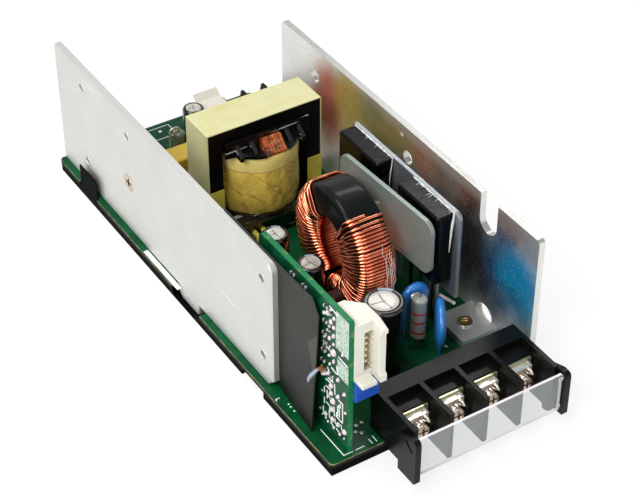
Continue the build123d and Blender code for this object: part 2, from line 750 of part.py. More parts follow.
def header_pins():
    recess_x, _ = header_limits()
    middle = sum(recess_x) / 2
    half = PIN_SIZE / 2
    pins = []
    for index in range(HEADER_PINS):
        z = HEADER_BOTTOM + HEADER_END + index * HEADER_PITCH
        pins.append(
            bar(
                (middle - half, middle + half),
                (HEADER_FRONT + 1.2, HEADER_FRONT + HEADER_RECESS),
                (z - half, z + half),
            )
        )
    return pins


def trimmer_limits():
    high = HEADER_BOTTOM - TRIMMER_GAP
    return (
        (CARD_RIGHT, CARD_RIGHT + TRIMMER_REACH),
        (TRIMMER_FRONT, TRIMMER_FRONT + TRIMMER_DEPTH),
        (high - TRIMMER_HEIGHT, high),
    )


def trimmer_axis():
    _, y, z = trimmer_limits()
    return sum(y) / 2, sum(z) / 2


def trimmer_body():
    body = bar(*trimmer_limits())
    body = fillet(body.edges().filter_by(Axis.X), 0.4)
    face_x = CARD_RIGHT + TRIMMER_REACH
    well = rod_x(*trimmer_axis(), ROTOR_RADIUS + ROTOR_CLEARANCE, face_x - ROTOR_DEPTH, face_x + 1)
    return body - well


def trimmer_rotor():
    y, z = trimmer_axis()
    face_x = CARD_RIGHT + TRIMMER_REACH
    top = face_x + ROTOR_PROUD
    rotor = rod_x(y, z, ROTOR_RADIUS, face_x - ROTOR_DEPTH, top)
    return rotor - bar((top - 0.6, top + 1), (y - 0.3, y + 0.3), (z - 3, z + 3))


def core_middle():
    return CORE_LEFT + CORE_WIDTH / 2, CORE_FRONT + CORE_THICKNESS / 2


def core_half(upper):
    """One E-shaped ferrite half: two outer legs and the round middle post on one yoke."""
    x, y = core_middle()
    low = CORE_TOP - TAPE_THICKNESS - CORE_HEIGHT
    high = CORE_TOP - TAPE_THICKNESS
    split = (low + high) / 2
    yoke = (high - CORE_YOKE, high) if upper else (low, low + CORE_YOKE)
    legs = (split, high) if upper else (low, split)
    span = (CORE_FRONT, CORE_FRONT + CORE_THICKNESS)
    left = CORE_LEFT + TAPE_THICKNESS
    right = CORE_LEFT + CORE_WIDTH - TAPE_THICKNESS
    half = bar((left, right), span, yoke)
    half += bar((left, left + CORE_LEG), span, legs)
    half += bar((right - CORE_LEG, right), span, legs)
    return half + rod_z(x, y, POST_RADIUS, *legs)


def core_tape():
    """The pale tape wound once round the outside of the core."""
    x, _ = core_middle()
    z = CORE_TOP - TAPE_THICKNESS - CORE_HEIGHT / 2
    height = CORE_HEIGHT + 2 * TAPE_THICKNESS
    outer = Pos(x, z) * RectangleRounded(CORE_WIDTH, height, TAPE_THICKNESS)
    inner = Pos(x, z) * Rectangle(CORE_WIDTH - 2 * TAPE_THICKNESS, CORE_HEIGHT)
    plane = Plane.XZ.offset(-CORE_FRONT - CORE_THICKNESS)
    return extrude(plane * (outer - inner), amount=CORE_THICKNESS)


def leg_tapes():
    """Tape patches folded round the lower front and rear of each outer leg."""
    patches = []
    z = (LEG_TAPE_LOW, LEG_TAPE_HIGH)
    rear = CORE_FRONT + CORE_THICKNESS
    for outer, inner in (
        (CORE_LEFT, CORE_LEFT + TAPE_THICKNESS + CORE_LEG),
        (CORE_LEFT + CORE_WIDTH, CORE_LEFT + CORE_WIDTH - TAPE_THICKNESS - CORE_LEG),
    ):
        x = (min(outer, inner), max(outer, inner))
        patches.append(bar(x, (CORE_FRONT - TAPE_THICKNESS, CORE_FRONT), z))
        patches.append(bar(x, (rear, rear + TAPE_THICKNESS), z))
    return patches


def flange_outline():
    """The bobbin's flange: as wide as the window inside the legs, bulging out to the coil."""
    x, y = core_middle()
    window = CORE_WIDTH - 2 * (TAPE_THICKNESS + CORE_LEG + FIT)
    disc = Pos(x, y) * Circle(COIL_RADIUS + 0.3)
    return disc & Pos(x, y) * Rectangle(window, 2 * COIL_RADIUS + 2)


def bobbin():
    x, y = core_middle()
    tube_radius = POST_RADIUS + 0.2 + BOBBIN_WALL
    base_top = COIL_LOW - BOBBIN_FLANGE
    tube = rod_z(x, y, tube_radius, base_top, COIL_HIGH + BOBBIN_FLANGE)
    top = extrude(Plane.XY.offset(COIL_HIGH) * flange_outline(), amount=BOBBIN_FLANGE)
    bottom = extrude(Plane.XY.offset(base_top) * flange_outline(), amount=BOBBIN_FLANGE)
    solid = tube + top + bottom
    half_depth = BOBBIN_BASE_DEPTH / 2
    core_front = CORE_FRONT - TAPE_THICKNESS - FIT
    core_rear = CORE_FRONT + CORE_THICKNESS + TAPE_THICKNESS + FIT
    half_width = BOBBIN_BASE_WIDTH / 2
    window = CORE_WIDTH / 2 - TAPE_THICKNESS - CORE_LEG - FIT
    rim_top = COIL_HIGH + BOBBIN_FLANGE + BOBBIN_RIM_HEIGHT
    for near, far in ((y - half_depth, core_front), (core_rear, y + half_depth)):
        solid += bar((x - half_width, x + half_width), (near, far), (0, base_top + BOBBIN_FLANGE / 2))
    for inner, outer in ((core_front - 1.0, core_front), (core_rear, core_rear + 1.0)):
        solid += bar((x - window, x + window), (inner, outer), (COIL_HIGH, rim_top))
    rib_front = core_front - RIB_REACH
    for place in RIB_PLACES:
        rib = face((core_front, COIL_HIGH), (core_front, rim_top - 1.0),
                   (rib_front, COIL_HIGH + BOBBIN_FLANGE), (rib_front, COIL_HIGH))
        solid += sheet_yz(rib, x + place * window - RIB_WIDTH / 2, RIB_WIDTH)
    slot_x = x + COPPER_SHIFT
    slot = bar(
        (slot_x - COPPER_WIDTH / 2, slot_x + COPPER_WIDTH / 2),
        (y - COIL_RADIUS - 2, core_front - 1.0),
        (COIL_HIGH - 1, rim_top + 1),
    )
    return solid - slot - rod_z(x, y, POST_RADIUS + 0.2, -1, CORE_TOP)


def transformer_coil():
    x, y = core_middle()
    inner = POST_RADIUS + 0.2 + BOBBIN_WALL
    upper = COIL_RADIUS - COIL_STEP
    profile = face(
        (inner, COIL_LOW), (COIL_RADIUS - 0.5, COIL_LOW), (COIL_RADIUS, COIL_LOW + 2.0),
        (COIL_RADIUS, COIL_STEP_Z), (upper, COIL_STEP_Z + 0.3), (upper, COIL_HIGH),
        (inner, COIL_HIGH),
    )
    return Pos(x, y) * revolve(Plane.XZ * profile, Axis.Z)


def winding_exit():
    """The copper lead-out that fills the slot in the bobbin's top flange."""
    x, _ = core_middle()
    middle = x + COPPER_SHIFT
    core_front = CORE_FRONT - TAPE_THICKNESS - FIT
    half = COPPER_WIDTH / 2 - 0.4
    strand = 2 * half / COPPER_STRANDS
    profile = face((core_front - 1.2, COIL_HIGH), (core_front - 1.2, COIL_HIGH + 4.0),
                   (core_front - 2.4, COIL_HIGH + 4.2), (core_front - 6.0, COIL_HIGH + 0.6),
                   (core_front - 6.0, COIL_HIGH))
    return [
        sheet_yz(profile, middle - half + index * strand, strand * 0.86)
        for index in range(COPPER_STRANDS)
    ]


def coil_leads():
    """Two sleeved leads from under the coil's front to the board."""
    x, y = core_middle()
    front = y - BOBBIN_BASE_DEPTH / 2
    leads = []
    end = front - COIL_LEAD_REACH
    for place in COIL_LEAD_PLACES:
        points = [(x + place, front, COIL_LEAD_Z), (x + place, end, COIL_LEAD_Z),
                  (x + place, end, 0)]
        leads.append(wire(points, COIL_LEAD_REACH / 2, COIL_LEAD_RADIUS))
    return leads


def winding_section(depth, inner_depth):
    """The loop of one turn in the plane through the axis: x along the axis, y outwards."""
    half = CHOKE_HALF_WIDTH
    middle = (CHOKE_RADIUS + CHOKE_BORE) / 2
    height = CHOKE_RADIUS - CHOKE_BORE
    outer = Pos(0, middle + (depth - inner_depth) / 2) * Rectangle(
        2 * (half + depth), height + depth + inner_depth
    )
    outer = chamfer(outer.vertices(), CHOKE_EDGE * 0.9)
    inner = Pos(0, middle) * Rectangle(
        2 * (half + WINDING_GAP), height + 2 * WINDING_GAP
    )
    inner = chamfer(inner.vertices(), CHOKE_EDGE)
    return outer - inner


def on_choke(shape):
    z = CHOKE_RADIUS + WIRE - CHOKE_SINK
    return Pos(CHOKE_X, CHOKE_Y, z) * Rot(0, 0, CHOKE_YAW) * shape


def choke_core():
    middle = (CHOKE_RADIUS + CHOKE_BORE) / 2
    section = Pos(0, middle) * Rectangle(2 * CHOKE_HALF_WIDTH, CHOKE_RADIUS - CHOKE_BORE)
    section = chamfer(section.vertices(), CHOKE_EDGE)
    return on_choke(revolve(section, Axis.X))


def choke_winding(side, start):
    """Turns laid side by side from start to WINDING_END degrees, measured from the top."""
    span = WINDING_END - start
    step = span / TURNS
    base = revolve(winding_section(WINDING_BASE, WINDING_BASE), Axis.X, revolution_arc=span)
    turn = revolve(winding_section(WIRE, WIRE), Axis.X, revolution_arc=step * 0.72)
    turns = [Rot(index * step + step * 0.14, 0, 0) * turn for index in range(TURNS)]
    winding = base + turns
    first = 90 - WINDING_END if side > 0 else 90 + start
    return on_choke(Rot(first, 0, 0) * winding)


def choke_lead_sleeve():
    """The dark sleeve over the winding's end, lying towards the control board."""
    z = LEAD_SLEEVE_Z
    y = CHOKE_Y - LEAD_SLEEVE_FORWARD
    right = CHOKE_X - CHOKE_HALF_WIDTH - WIRE - LEAD_SLEEVE_GAP
    left = right - LEAD_SLEEVE_LENGTH
    sleeve = rod_x(y, z, LEAD_SLEEVE_RADIUS, left, right)
    drop = left - 1.5 * LEAD_SLEEVE_RADIUS
    down = wire([(left, y, z), (drop, y, z), (drop, y, 0)], 1.8, LEAD_SLEEVE_RADIUS / 3)
    return sleeve + down


def heat_sink_plate():
    rear = SINK_FRONT + SINK_LENGTH
    outline = face((SINK_FRONT, SINK_BOTTOM), (rear, SINK_BOTTOM), (rear, SINK_TOP),
                   (SINK_FRONT, SINK_TOP))
    outline = round_corner(outline, (SINK_FRONT, SINK_TOP), SINK_CORNER)
    outline = cut_corner(outline, (rear, SINK_TOP), 0.8)
    for y in SINK_FEET:
        outline += Pos(y, SINK_BOTTOM / 2 + 0.5) * Rectangle(SINK_FOOT, SINK_BOTTOM + 1.0)
    y, z = clamp_screw_place()
    reach = SINK_X + SINK_THICKNESS - clamp_middle()
    hole = rod_x(y, z, M3_RADIUS + THREAD_CLEARANCE, 0, reach + 1)
    return sheet_yz(outline, SINK_X, SINK_THICKNESS) - in_clamp(hole)


def sleeve_block(y, inset):
    """The sleeve's outer block, or its hollow when drawn in by the wall on every side."""
    outline = Pos(SINK_X - SLEEVE_THICKNESS / 2, y) * RectangleRounded(
        SLEEVE_THICKNESS - 2 * inset, SLEEVE_WIDTH - 2 * inset, SLEEVE_CORNER - inset
    )
    low = SLEEVE_BOTTOM - inset
    return extrude(Plane.XY.offset(low) * outline, amount=SLEEVE_TOP - inset - low)


def device_sleeve(y):
    """A soft cap pulled over the power device, open at its foot."""
    cap = sleeve_block(y, 0)
    cap = chamfer(cap.faces().sort_by(Axis.Z)[-1].edges(), SLEEVE_CORNER * 0.4)
    return cap - sleeve_block(y, SLEEVE_WALL)


def power_device(y):
    """The package inside the sleeve, its tab towards the heat-sink plate."""
    top = SLEEVE_TOP - SLEEVE_WALL - 0.1
    body = Rot(0, 0, 180) * device_body(top, top - DEVICE_HOLE_DROP)
    return Pos(SINK_X - SLEEVE_WALL, y) * body


def clamp_middle():
    return SINK_X - SLEEVE_THICKNESS - CLAMP_THICKNESS - CLAMP_GAP


def in_clamp(shape):
    middle = (CLAMP_TOP + CLAMP_BOTTOM) / 2
    return Pos(clamp_middle(), CLAMP_Y, middle) * Rot(0, 0, CLAMP_YAW) * shape


def clamp_plate():
    outline = RectangleRounded(CLAMP_LENGTH, CLAMP_TOP - CLAMP_BOTTOM, CLAMP_CORNER)
    outline -= Pos(clamp_screw_place()) * Circle(M3_CLEARANCE_RADIUS)
    return in_clamp(sheet_yz(outline, 0, CLAMP_THICKNESS))


def clamp_screw_place():
    return (CLAMP_SCREW_Y - CLAMP_Y, CLAMP_SCREW_Z - (CLAMP_TOP + CLAMP_BOTTOM) / 2)


def clamp_screw():
    y, z = clamp_screw_place()
    reach = SINK_X + SINK_THICKNESS - clamp_middle() - 0.4
    screw = pan_screw(reach, PAN_HEAD_RADIUS * 0.9, PAN_HEAD_HEIGHT * 0.7)
    screw = Rot(0, -90, 0) * screw
    return in_clamp(Pos(0, y, z) * screw)


def electrolytic(x, y, radius, height):
    """A radial capacitor: rolled bead at the foot, sleeve lip and scored vent at the top."""
    lip = radius * CAP_TOP_SHARE
    profile = face(
        (0, 0), (radius - 0.3, 0), (radius, 0.3), (radius, CAP_BEAD_Z - 0.5),
        (radius - 0.4, CAP_BEAD_Z), (radius, CAP_BEAD_Z + 0.5), (radius, height - 0.4),
        (radius - 0.3, height), (lip, height), (lip, height - 0.25), (0, height - 0.25),
    )
    can = revolve(Plane.XZ * profile, Axis.Z)
    groove = Pos(0, 0, height - 0.25) * Box(1.3 * lip, 0.25, 0.3)
    for angle in (20, 80, 140):
        can -= Rot(0, 0, angle) * groove
    return Pos(x, y) * can


def resistor_body(x, y, radius, length):
    """An upright axial body, a little thicker at its two end caps."""
    waist = radius * 0.9
    end = length * 0.16
    profile = face(
        (0, 0), (radius * 0.6, 0), (radius * 0.95, 0.5), (radius, 1.1), (radius, end),
        (waist, end * 1.35), (waist, length - end * 1.35), (radius, length - end),
        (radius, length - 1.1), (radius * 0.95, length - 0.5), (radius * 0.6, length),
        (0, length),
    )
    return Pos(x, y, RESISTOR_STAND) * revolve(Plane.XZ * profile, Axis.Z)


def resistor_leads(x, y, length):
    """The straight lower lead, and the upper one looped over to the left and down."""
    top = RESISTOR_STAND + length
    lower = rod_z(x, y, WIRE_RADIUS, 0, RESISTOR_STAND)
    path = [(x, y, top), (x, y, top + LOOP_RISE), (x - LOOP_REACH, y, top + LOOP_RISE),
            (x - LOOP_REACH, y, 0)]
    return [lower, wire(path, LOOP_RISE * 0.8, WIRE_RADIUS)]


def disc_capacitor(x, y, radius, thickness, stand, turn):
    """A dipped disc on two leads, standing upright and turned about Z."""
    edge = thickness * 0.22
    profile = make_face(
        Polyline((0, -thickness / 2), (radius * 0.62, -thickness / 2))
        + ThreePointArc(
            (radius * 0.62, -thickness / 2),
            (radius, 0),
            (radius * 0.62, thickness / 2),
        )
        + Polyline((radius * 0.62, thickness / 2), (0, thickness / 2), (0, -thickness / 2))
    )
    disc = Rot(90, 0, 0) * revolve(Plane.XZ * profile, Axis.Z)
    disc = Pos(0, 0, stand + radius) * disc
    for side in (-0.5, 0.5):
        place = side * min(DISC_LEAD_SPACING, radius)
        disc += rod_z(place, 0, WIRE_RADIUS, 0, stand + radius * 0.6)
    return Pos(x, y) * Rot(0, 0, turn) * disc


def cell_middle(index):
    return TERMINAL_LEFT + TERMINAL_WALL / 2 + (index + 0.5) * POLE_PITCH


def terminal_profile():
    """Side view of a dividing wall and the block behind it, with the step over the board."""
    return face(
        (TERMINAL_REAR, 0),
        (TERMINAL_REAR, TERMINAL_TOP),
        (TERMINAL_FRONT, TERMINAL_TOP),
        (TERMINAL_FRONT, -TERMINAL_SILL_DROP),
        (-FIT, -TERMINAL_SILL_DROP),
        (-FIT, 0),
    )


def ear_outline():
    """Side view of an end ear that carries the cover, standing forward of the end wall."""
    rear = TERMINAL_FRONT + EAR_LENGTH
    top = TERMINAL_TOP - 0.8
    outline = face(
        (rear, top - 1.8), (rear, EAR_BOTTOM), (EAR_FRONT, EAR_BOTTOM), (EAR_FRONT, top),
        (TERMINAL_FRONT - 0.6, top),
    )
    outline = round_corner(outline, (EAR_FRONT, top), 1.4)
    outline = round_corner(outline, (EAR_FRONT, EAR_BOTTOM), 0.7)
    slot = Pos(TERMINAL_FRONT - 0.4, top - 3.2) * Rot(0, 0, 38) * SlotOverall(4.0, EAR_SLOT)
    return outline - slot


def terminal_housing():
    """Moulded block: closed rear with a low deck, cells open in front and below, end ears."""
    right = TERMINAL_LEFT + TERMINAL_WIDTH
    block = sheet_yz(terminal_profile(), TERMINAL_LEFT, TERMINAL_WIDTH)
    half = (POLE_PITCH - TERMINAL_WALL) / 2
    for index in range(POLES):
        x = (cell_middle(index) - half, cell_middle(index) + half)
        over = TERMINAL_TOP + 1
        block -= bar(x, (TERMINAL_FRONT - 1, TERMINAL_FACE_Y), (-TERMINAL_SILL_DROP - 1, over))
        block -= bar(x, (TERMINAL_FACE_Y - 1, TERMINAL_DECK_Y), (TERMINAL_DECK_Z, over))
    for x in (TERMINAL_LEFT - EAR_THICKNESS, right):
        block += sheet_yz(ear_outline(), x, EAR_THICKNESS)
    hook_rear = TERMINAL_FRONT + 3.4
    hook = face(
        (hook_rear, 0), (hook_rear, -TERMINAL_SILL_DROP - HOOK_DROP),
        (hook_rear - 1.4, -TERMINAL_SILL_DROP - HOOK_DROP - 0.2),
        (hook_rear - 3.0, -TERMINAL_SILL_DROP - HOOK_DROP * 0.4), (hook_rear - 3.0, 0),
    )
    for x in (TERMINAL_LEFT, right - TERMINAL_WALL):
        block += sheet_yz(hook, x, TERMINAL_WALL)
    bore = COVER_PIVOT_RADIUS + COVER_PIVOT_CLEARANCE
    for x in (TERMINAL_LEFT - COVER_BLIND, right):
        block -= rod_x(COVER_PIVOT_Y, COVER_PIVOT_Z, bore, x, x + COVER_BLIND)
    return block


def rod_y(x, z, radius, near, far):
    plane = Plane.XZ.offset(-far)
    return extrude(plane * Pos(x, z) * Circle(radius), amount=far - near)


def terminal_straps():
    """The metal strap in each cell: upright against the rear wall, threaded for the screw."""
    straps = []
    low = SCREW_Z - STRAP_HEIGHT / 2
    for index in range(POLES):
        x = cell_middle(index)
        strap = bar(
            (x - STRAP_WIDTH / 2, x + STRAP_WIDTH / 2),
            (TERMINAL_FACE_Y - STRAP_THICKNESS, TERMINAL_FACE_Y),
            (low, low + STRAP_HEIGHT),
        )
        near = TERMINAL_FACE_Y - STRAP_THICKNESS - 1
        straps.append(strap - rod_y(x, SCREW_Z, M3_RADIUS + THREAD_CLEARANCE, near, TERMINAL_FACE_Y + 1))
    return straps


def saddle_outline():
    """Seen from above: a square plate with its two side lips turned back to grip the wire."""
    half = SADDLE_WIDTH / 2
    return face(
        (-half, SADDLE_LIP), (-half, 0), (half, 0), (half, SADDLE_LIP),
        (half - 0.8, SADDLE_LIP), (half - 0.8, SADDLE_THICKNESS),
        (-half + 0.8, SADDLE_THICKNESS), (-half + 0.8, SADDLE_LIP),
    )


def terminal_saddles():
    saddles = []
    face_y = TERMINAL_FACE_Y - STRAP_THICKNESS - SADDLE_LIP
    for index in range(POLES):
        x = cell_middle(index)
        low = SCREW_Z - SADDLE_HEIGHT / 2
        plate = extrude(Plane.XY.offset(low) * Pos(x, face_y) * saddle_outline(),
                        amount=SADDLE_HEIGHT)
        hole = rod_y(x, SCREW_Z, M3_CLEARANCE_RADIUS, face_y - 1, face_y + SADDLE_LIP + 1)
        saddles.append(plate - hole)
    return saddles


def terminal_screws():
    """Pan-head screws with a round washer, lying along Y with their heads to the front."""
    screws = []
    washer_y = TERMINAL_FACE_Y - STRAP_THICKNESS - SADDLE_LIP - WASHER_THICKNESS
    for index in range(POLES):
        washer = rod_z(0, 0, WASHER_RADIUS, -WASHER_THICKNESS, 0)
        reach = WASHER_THICKNESS + SADDLE_LIP + STRAP_THICKNESS - 0.1
        screw = Rot(90, 0, 0) * (pan_screw(reach) + washer)
        screws.append(Pos(cell_middle(index), washer_y, SCREW_Z) * screw)
    return screws


def terminal_cover():
    """The clear front cover: a plate with a top bead, end webs and two pivot pins."""
    left, right = COVER_LEFT, COVER_LEFT + COVER_WIDTH
    front = COVER_PIVOT_Y - COVER_THICKNESS / 2
    back = COVER_PIVOT_Y + COVER_THICKNESS / 2
    cover = bar((left, right), (front, back), (COVER_BOTTOM, COVER_TOP))
    ends = cover.edges().filter_by(Axis.X)
    cover = fillet(ends, COVER_THICKNESS * 0.3)
    for low, high in ((left - COVER_CLEARANCE - COVER_BLIND + 0.2, left + 0.1),
                      (right - 0.1, right + COVER_CLEARANCE + COVER_BLIND - 0.2)):
        cover += rod_x(COVER_PIVOT_Y, COVER_PIVOT_Z, COVER_PIVOT_RADIUS, low, high)
    return cover


def input_housing():
    """Rear barrier strip: screw decks between raised walls, with a step towards the rear."""
    width = INPUT_POLES * INPUT_PITCH + INPUT_WALL
    rear = INPUT_FRONT + INPUT_DEPTH
    profile = face(
        (INPUT_FRONT, 0), (rear, 0), (rear, INPUT_DECK), (rear - 1.6, INPUT_TOP),
        (INPUT_FRONT + 2.0, INPUT_TOP), (INPUT_FRONT, INPUT_TOP - 2.0),
    )
    block = sheet_yz(profile, INPUT_LEFT, width)
    for index in range(INPUT_POLES):
        low = INPUT_LEFT + INPUT_WALL + index * INPUT_PITCH
        cell = (low, low + INPUT_PITCH - INPUT_WALL)
        block -= bar(cell, (INPUT_FRONT + 2.4, rear + 1), (INPUT_DECK, INPUT_TOP + 1))
        block -= bar(cell, (rear - 2.6, rear + 1), (INPUT_DECK - 2.4, INPUT_TOP + 1))
    return block


def input_cell(index):
    return INPUT_LEFT + INPUT_WALL / 2 + (index + 0.5) * INPUT_PITCH


def input_straps():
    straps = []
    rear = INPUT_FRONT + INPUT_DEPTH
    half = (INPUT_PITCH - INPUT_WALL) / 2 - 0.3
    for index in range(INPUT_POLES):
        x = input_cell(index)
        straps.append(
            bar((x - half, x + half), (INPUT_FRONT + 2.4, rear - 2.6),
                (INPUT_DECK, INPUT_DECK + INPUT_STRAP))
        )
    return straps


def input_screws():
    screws = []
    for index in range(INPUT_POLES):
        head = pan_screw(0.1, 2.5, 1.8)
        head &= bar((-4, 4), (-4, 4), (0, 4))
        screws.append(
            Pos(input_cell(index), INPUT_FRONT + INPUT_DEPTH / 2, INPUT_DECK + INPUT_STRAP) * head
        )
    return screws


def input_guard():
    """A frosted guard clipped over the first input pole, with its front edge turned down."""
    left, right = INPUT_LEFT - 0.9, INPUT_LEFT + INPUT_PITCH
    top = INPUT_TOP + 1.0
    rear = INPUT_FRONT + INPUT_DEPTH - 1.6
    lid = bar((left, right), (INPUT_FRONT + 2.0, rear), (INPUT_TOP, top))
    side = bar((left, INPUT_LEFT), (INPUT_FRONT + 2.0, rear), (INPUT_DECK, top))
    tongue = sheet_yz(
        face((rear, INPUT_TOP), (rear, top), (rear + 2.2, top + 2.0), (rear + 2.2, top + 1.2)),
        left,
        right - left,
    )
    return lid + side + tongue


def film_capacitor():
    """The boxed input filter capacitor beside the transformer's rear."""
    _, y = core_middle()
    front = y + BOBBIN_BASE_DEPTH / 2 + FILM_BOX_GAP
    left = FUSE_X + FUSE_RADIUS + FILM_BOX_LEFT_GAP
    right = FILTER_CHOKE_X - FILTER_CHOKE_RADIUS - FILM_BOX_RIGHT_GAP
    body = bar((left, right), (front, front + FILM_BOX_DEPTH), (0, FILM_BOX_HEIGHT))
    return fillet(body.faces().sort_by(Axis.Z)[-1].edges(), 0.8)


def input_fuse():
    """A ceramic tube fuse with two end caps, standing on its clips along Y."""
    rear = FUSE_FRONT + FUSE_LENGTH
    half = FUSE_RADIUS * 0.7
    inset = (FUSE_CAP_LENGTH - FUSE_CLIP_LENGTH) / 2
    tube = rod_y(FUSE_X, FUSE_Z, FUSE_RADIUS - FIT, FUSE_FRONT + inset, rear - inset)
    for near in (FUSE_FRONT, rear - FUSE_CAP_LENGTH):
        tube += rod_y(FUSE_X, FUSE_Z, FUSE_RADIUS, near, near + FUSE_CAP_LENGTH)
        tube += bar((FUSE_X - half, FUSE_X + half),
                    (near + inset, near + inset + FUSE_CLIP_LENGTH), (0, FUSE_Z))
    return tube


def filter_choke():
    """The small input choke: a wound drum with two flanges, standing behind the transformer."""
    radius, waist, high = FILTER_CHOKE_RADIUS, FILTER_CHOKE_WAIST, FILTER_CHOKE_HEIGHT
    low_flange = FILTER_CHOKE_FLANGE
    top_flange = high - FILTER_CHOKE_FLANGE
    eye = radius * 0.4
    profile = face((0, 0), (radius, 0), (radius, low_flange), (waist, low_flange + 0.4),
                   (waist, top_flange - 0.4), (radius, top_flange), (radius, high),
                   (eye, high), (eye, high - 0.8), (0, high - 0.8))
    return Pos(FILTER_CHOKE_X, FILTER_CHOKE_Y) * revolve(Plane.XZ * profile, Axis.Z)


def in_part_frame(shape):
    """Moves a shape from the board's corner to the part's own frame."""
    return Pos(-MID_X, -MID_Y, BOARD_TOP) * shape


def write(name, shape):
    solids = shape if isinstance(shape, list) else [shape]
    placed = [in_part_frame(solid) for solid in solids]
    whole = placed[0] if len(placed) == 1 else Compound(children=placed)
    export_step(whole, f"parts/{name}.step")


def main():
    os.makedirs("parts", exist_ok=True)
    write("main_board", main_board())
    write("insulating_sheet", insulating_sheet())
    write("left_heat_plate", left_heat_plate())
    write("countersunk_screw", countersunk_screw())
    write("device_nut", device_nut())
    write("insulating_pad", insulating_pad())
    write("primary_transistor", primary_transistor())
    write("right_side_plate", right_side_plate())
    write("tab_inserts", tab_inserts())
    write("tab_screws", tab_screws())
    write("insulating_film", insulating_film())
    write("control_board", control_board())
    write("control_chips", control_chips())
    write("sense_lead", sense_lead())
    write("header_housing", header_housing())
    write("header_pins", header_pins())
    write("trimmer_body", trimmer_body())
    write("trimmer_rotor", trimmer_rotor())
    write("transformer_core_upper", core_half(True))
    write("transformer_core_lower", core_half(False))
    write("core_tape", core_tape())
    write("leg_tapes", leg_tapes())
    write("transformer_bobbin", bobbin())
    write("transformer_coil", transformer_coil())
    write("winding_exit", winding_exit())
    write("coil_leads", coil_leads())
    write("choke_core", choke_core())
    write("choke_winding_rear", choke_winding(1, REAR_START))
    write("choke_winding_front", choke_winding(-1, FRONT_START))
    write("choke_lead_sleeve", choke_lead_sleeve())
    write("heat_sink_plate", heat_sink_plate())
    write("device_sleeve_front", device_sleeve(FRONT_DEVICE_Y))
    write("device_sleeve_rear", device_sleeve(REAR_DEVICE_Y))
    write("power_device_front", power_device(FRONT_DEVICE_Y))
    write("power_device_rear", power_device(REAR_DEVICE_Y))
    write("clamp_plate", clamp_plate())
    write("clamp_screw", clamp_screw())
    small_can = (SMALL_CAP_RADIUS, SMALL_CAP_HEIGHT)
    rear_cap = (RIGHT_INNER - REAR_OUTPUT_CAP_INSET, REAR_OUTPUT_CAP_Y)
    middle_cap = (RIGHT_INNER - MIDDLE_OUTPUT_CAP_INSET, MIDDLE_OUTPUT_CAP_Y)
    front_cap = (RIGHT_INNER - FRONT_CAP_INSET, FRONT_CAP_Y)
    input_cap = (RIGHT_INNER - INPUT_CAP_INSET, INPUT_CAP_Y)
    write("output_capacitor_rear", electrolytic(*rear_cap, *small_can))
    write("output_capacitor_middle", electrolytic(*middle_cap, *small_can))
    write("output_capacitor_front", electrolytic(*front_cap, FRONT_CAP_RADIUS, FRONT_CAP_HEIGHT))
    write("input_capacitor", electrolytic(*input_cap, REAR_CAP_RADIUS, REAR_CAP_HEIGHT))
    front_place = (RIGHT_INNER - FRONT_RESISTOR_INSET, FRONT_RESISTOR_Y)
    rear_place = (REAR_RESISTOR_X, REAR_RESISTOR_Y)
    write("front_resistor", resistor_body(*front_place, RESISTOR_RADIUS, RESISTOR_LENGTH))
    write("front_resistor_leads", resistor_leads(*front_place, RESISTOR_LENGTH))
    write("rear_resistor", resistor_body(*rear_place, REAR_RESISTOR_RADIUS, REAR_RESISTOR_LENGTH))
    write("rear_resistor_leads", resistor_leads(*rear_place, REAR_RESISTOR_LENGTH))
    left_disc = (RIGHT_INNER - LEFT_DISC_INSET, LEFT_DISC_Y, LEFT_DISC_RADIUS, DISC_THICKNESS)
    right_disc = (RIGHT_INNER - RIGHT_DISC_INSET, RIGHT_DISC_Y, RIGHT_DISC_RADIUS, DISC_THICKNESS)
    rear_disc = (REAR_DISC_X, REAR_DISC_Y, REAR_DISC_RADIUS, REAR_DISC_THICKNESS)
    write("disc_capacitor_left", disc_capacitor(*left_disc, LEFT_DISC_STAND, 0))
    write("disc_capacitor_right", disc_capacitor(*right_disc, DISC_STAND, RIGHT_DISC_TURN))
    write("rear_disc_capacitor", disc_capacitor(*rear_disc, DISC_STAND, REAR_DISC_TURN))
    write("terminal_housing", terminal_housing())
    write("terminal_straps", terminal_straps())
    write("terminal_saddles", terminal_saddles())
    write("terminal_screws", terminal_screws())
    write("terminal_cover", terminal_cover())
    write("input_housing", input_housing())
    write("input_straps", input_straps())
    write("input_screws", input_screws())
    write("input_guard", input_guard())
    write("film_capacitor", film_capacitor())
    write("input_fuse", input_fuse())
    write("filter_choke", filter_choke())


main()
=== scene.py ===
import bmesh
import bpy
import numpy as np
from mathutils import Matrix, Vector


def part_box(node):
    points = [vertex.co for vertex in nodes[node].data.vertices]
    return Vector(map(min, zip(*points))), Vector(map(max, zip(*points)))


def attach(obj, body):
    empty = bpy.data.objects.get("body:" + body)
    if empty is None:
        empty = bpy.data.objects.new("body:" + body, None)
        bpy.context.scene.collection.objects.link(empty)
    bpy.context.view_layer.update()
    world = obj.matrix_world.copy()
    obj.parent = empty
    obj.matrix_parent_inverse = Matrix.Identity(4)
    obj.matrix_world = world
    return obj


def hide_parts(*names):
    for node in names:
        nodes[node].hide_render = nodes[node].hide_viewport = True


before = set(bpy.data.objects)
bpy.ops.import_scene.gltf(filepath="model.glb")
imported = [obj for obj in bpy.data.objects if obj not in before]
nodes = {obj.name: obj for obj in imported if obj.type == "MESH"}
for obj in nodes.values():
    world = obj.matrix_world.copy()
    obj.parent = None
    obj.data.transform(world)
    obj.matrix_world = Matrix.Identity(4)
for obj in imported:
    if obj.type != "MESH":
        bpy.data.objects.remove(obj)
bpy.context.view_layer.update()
mm = 0.001
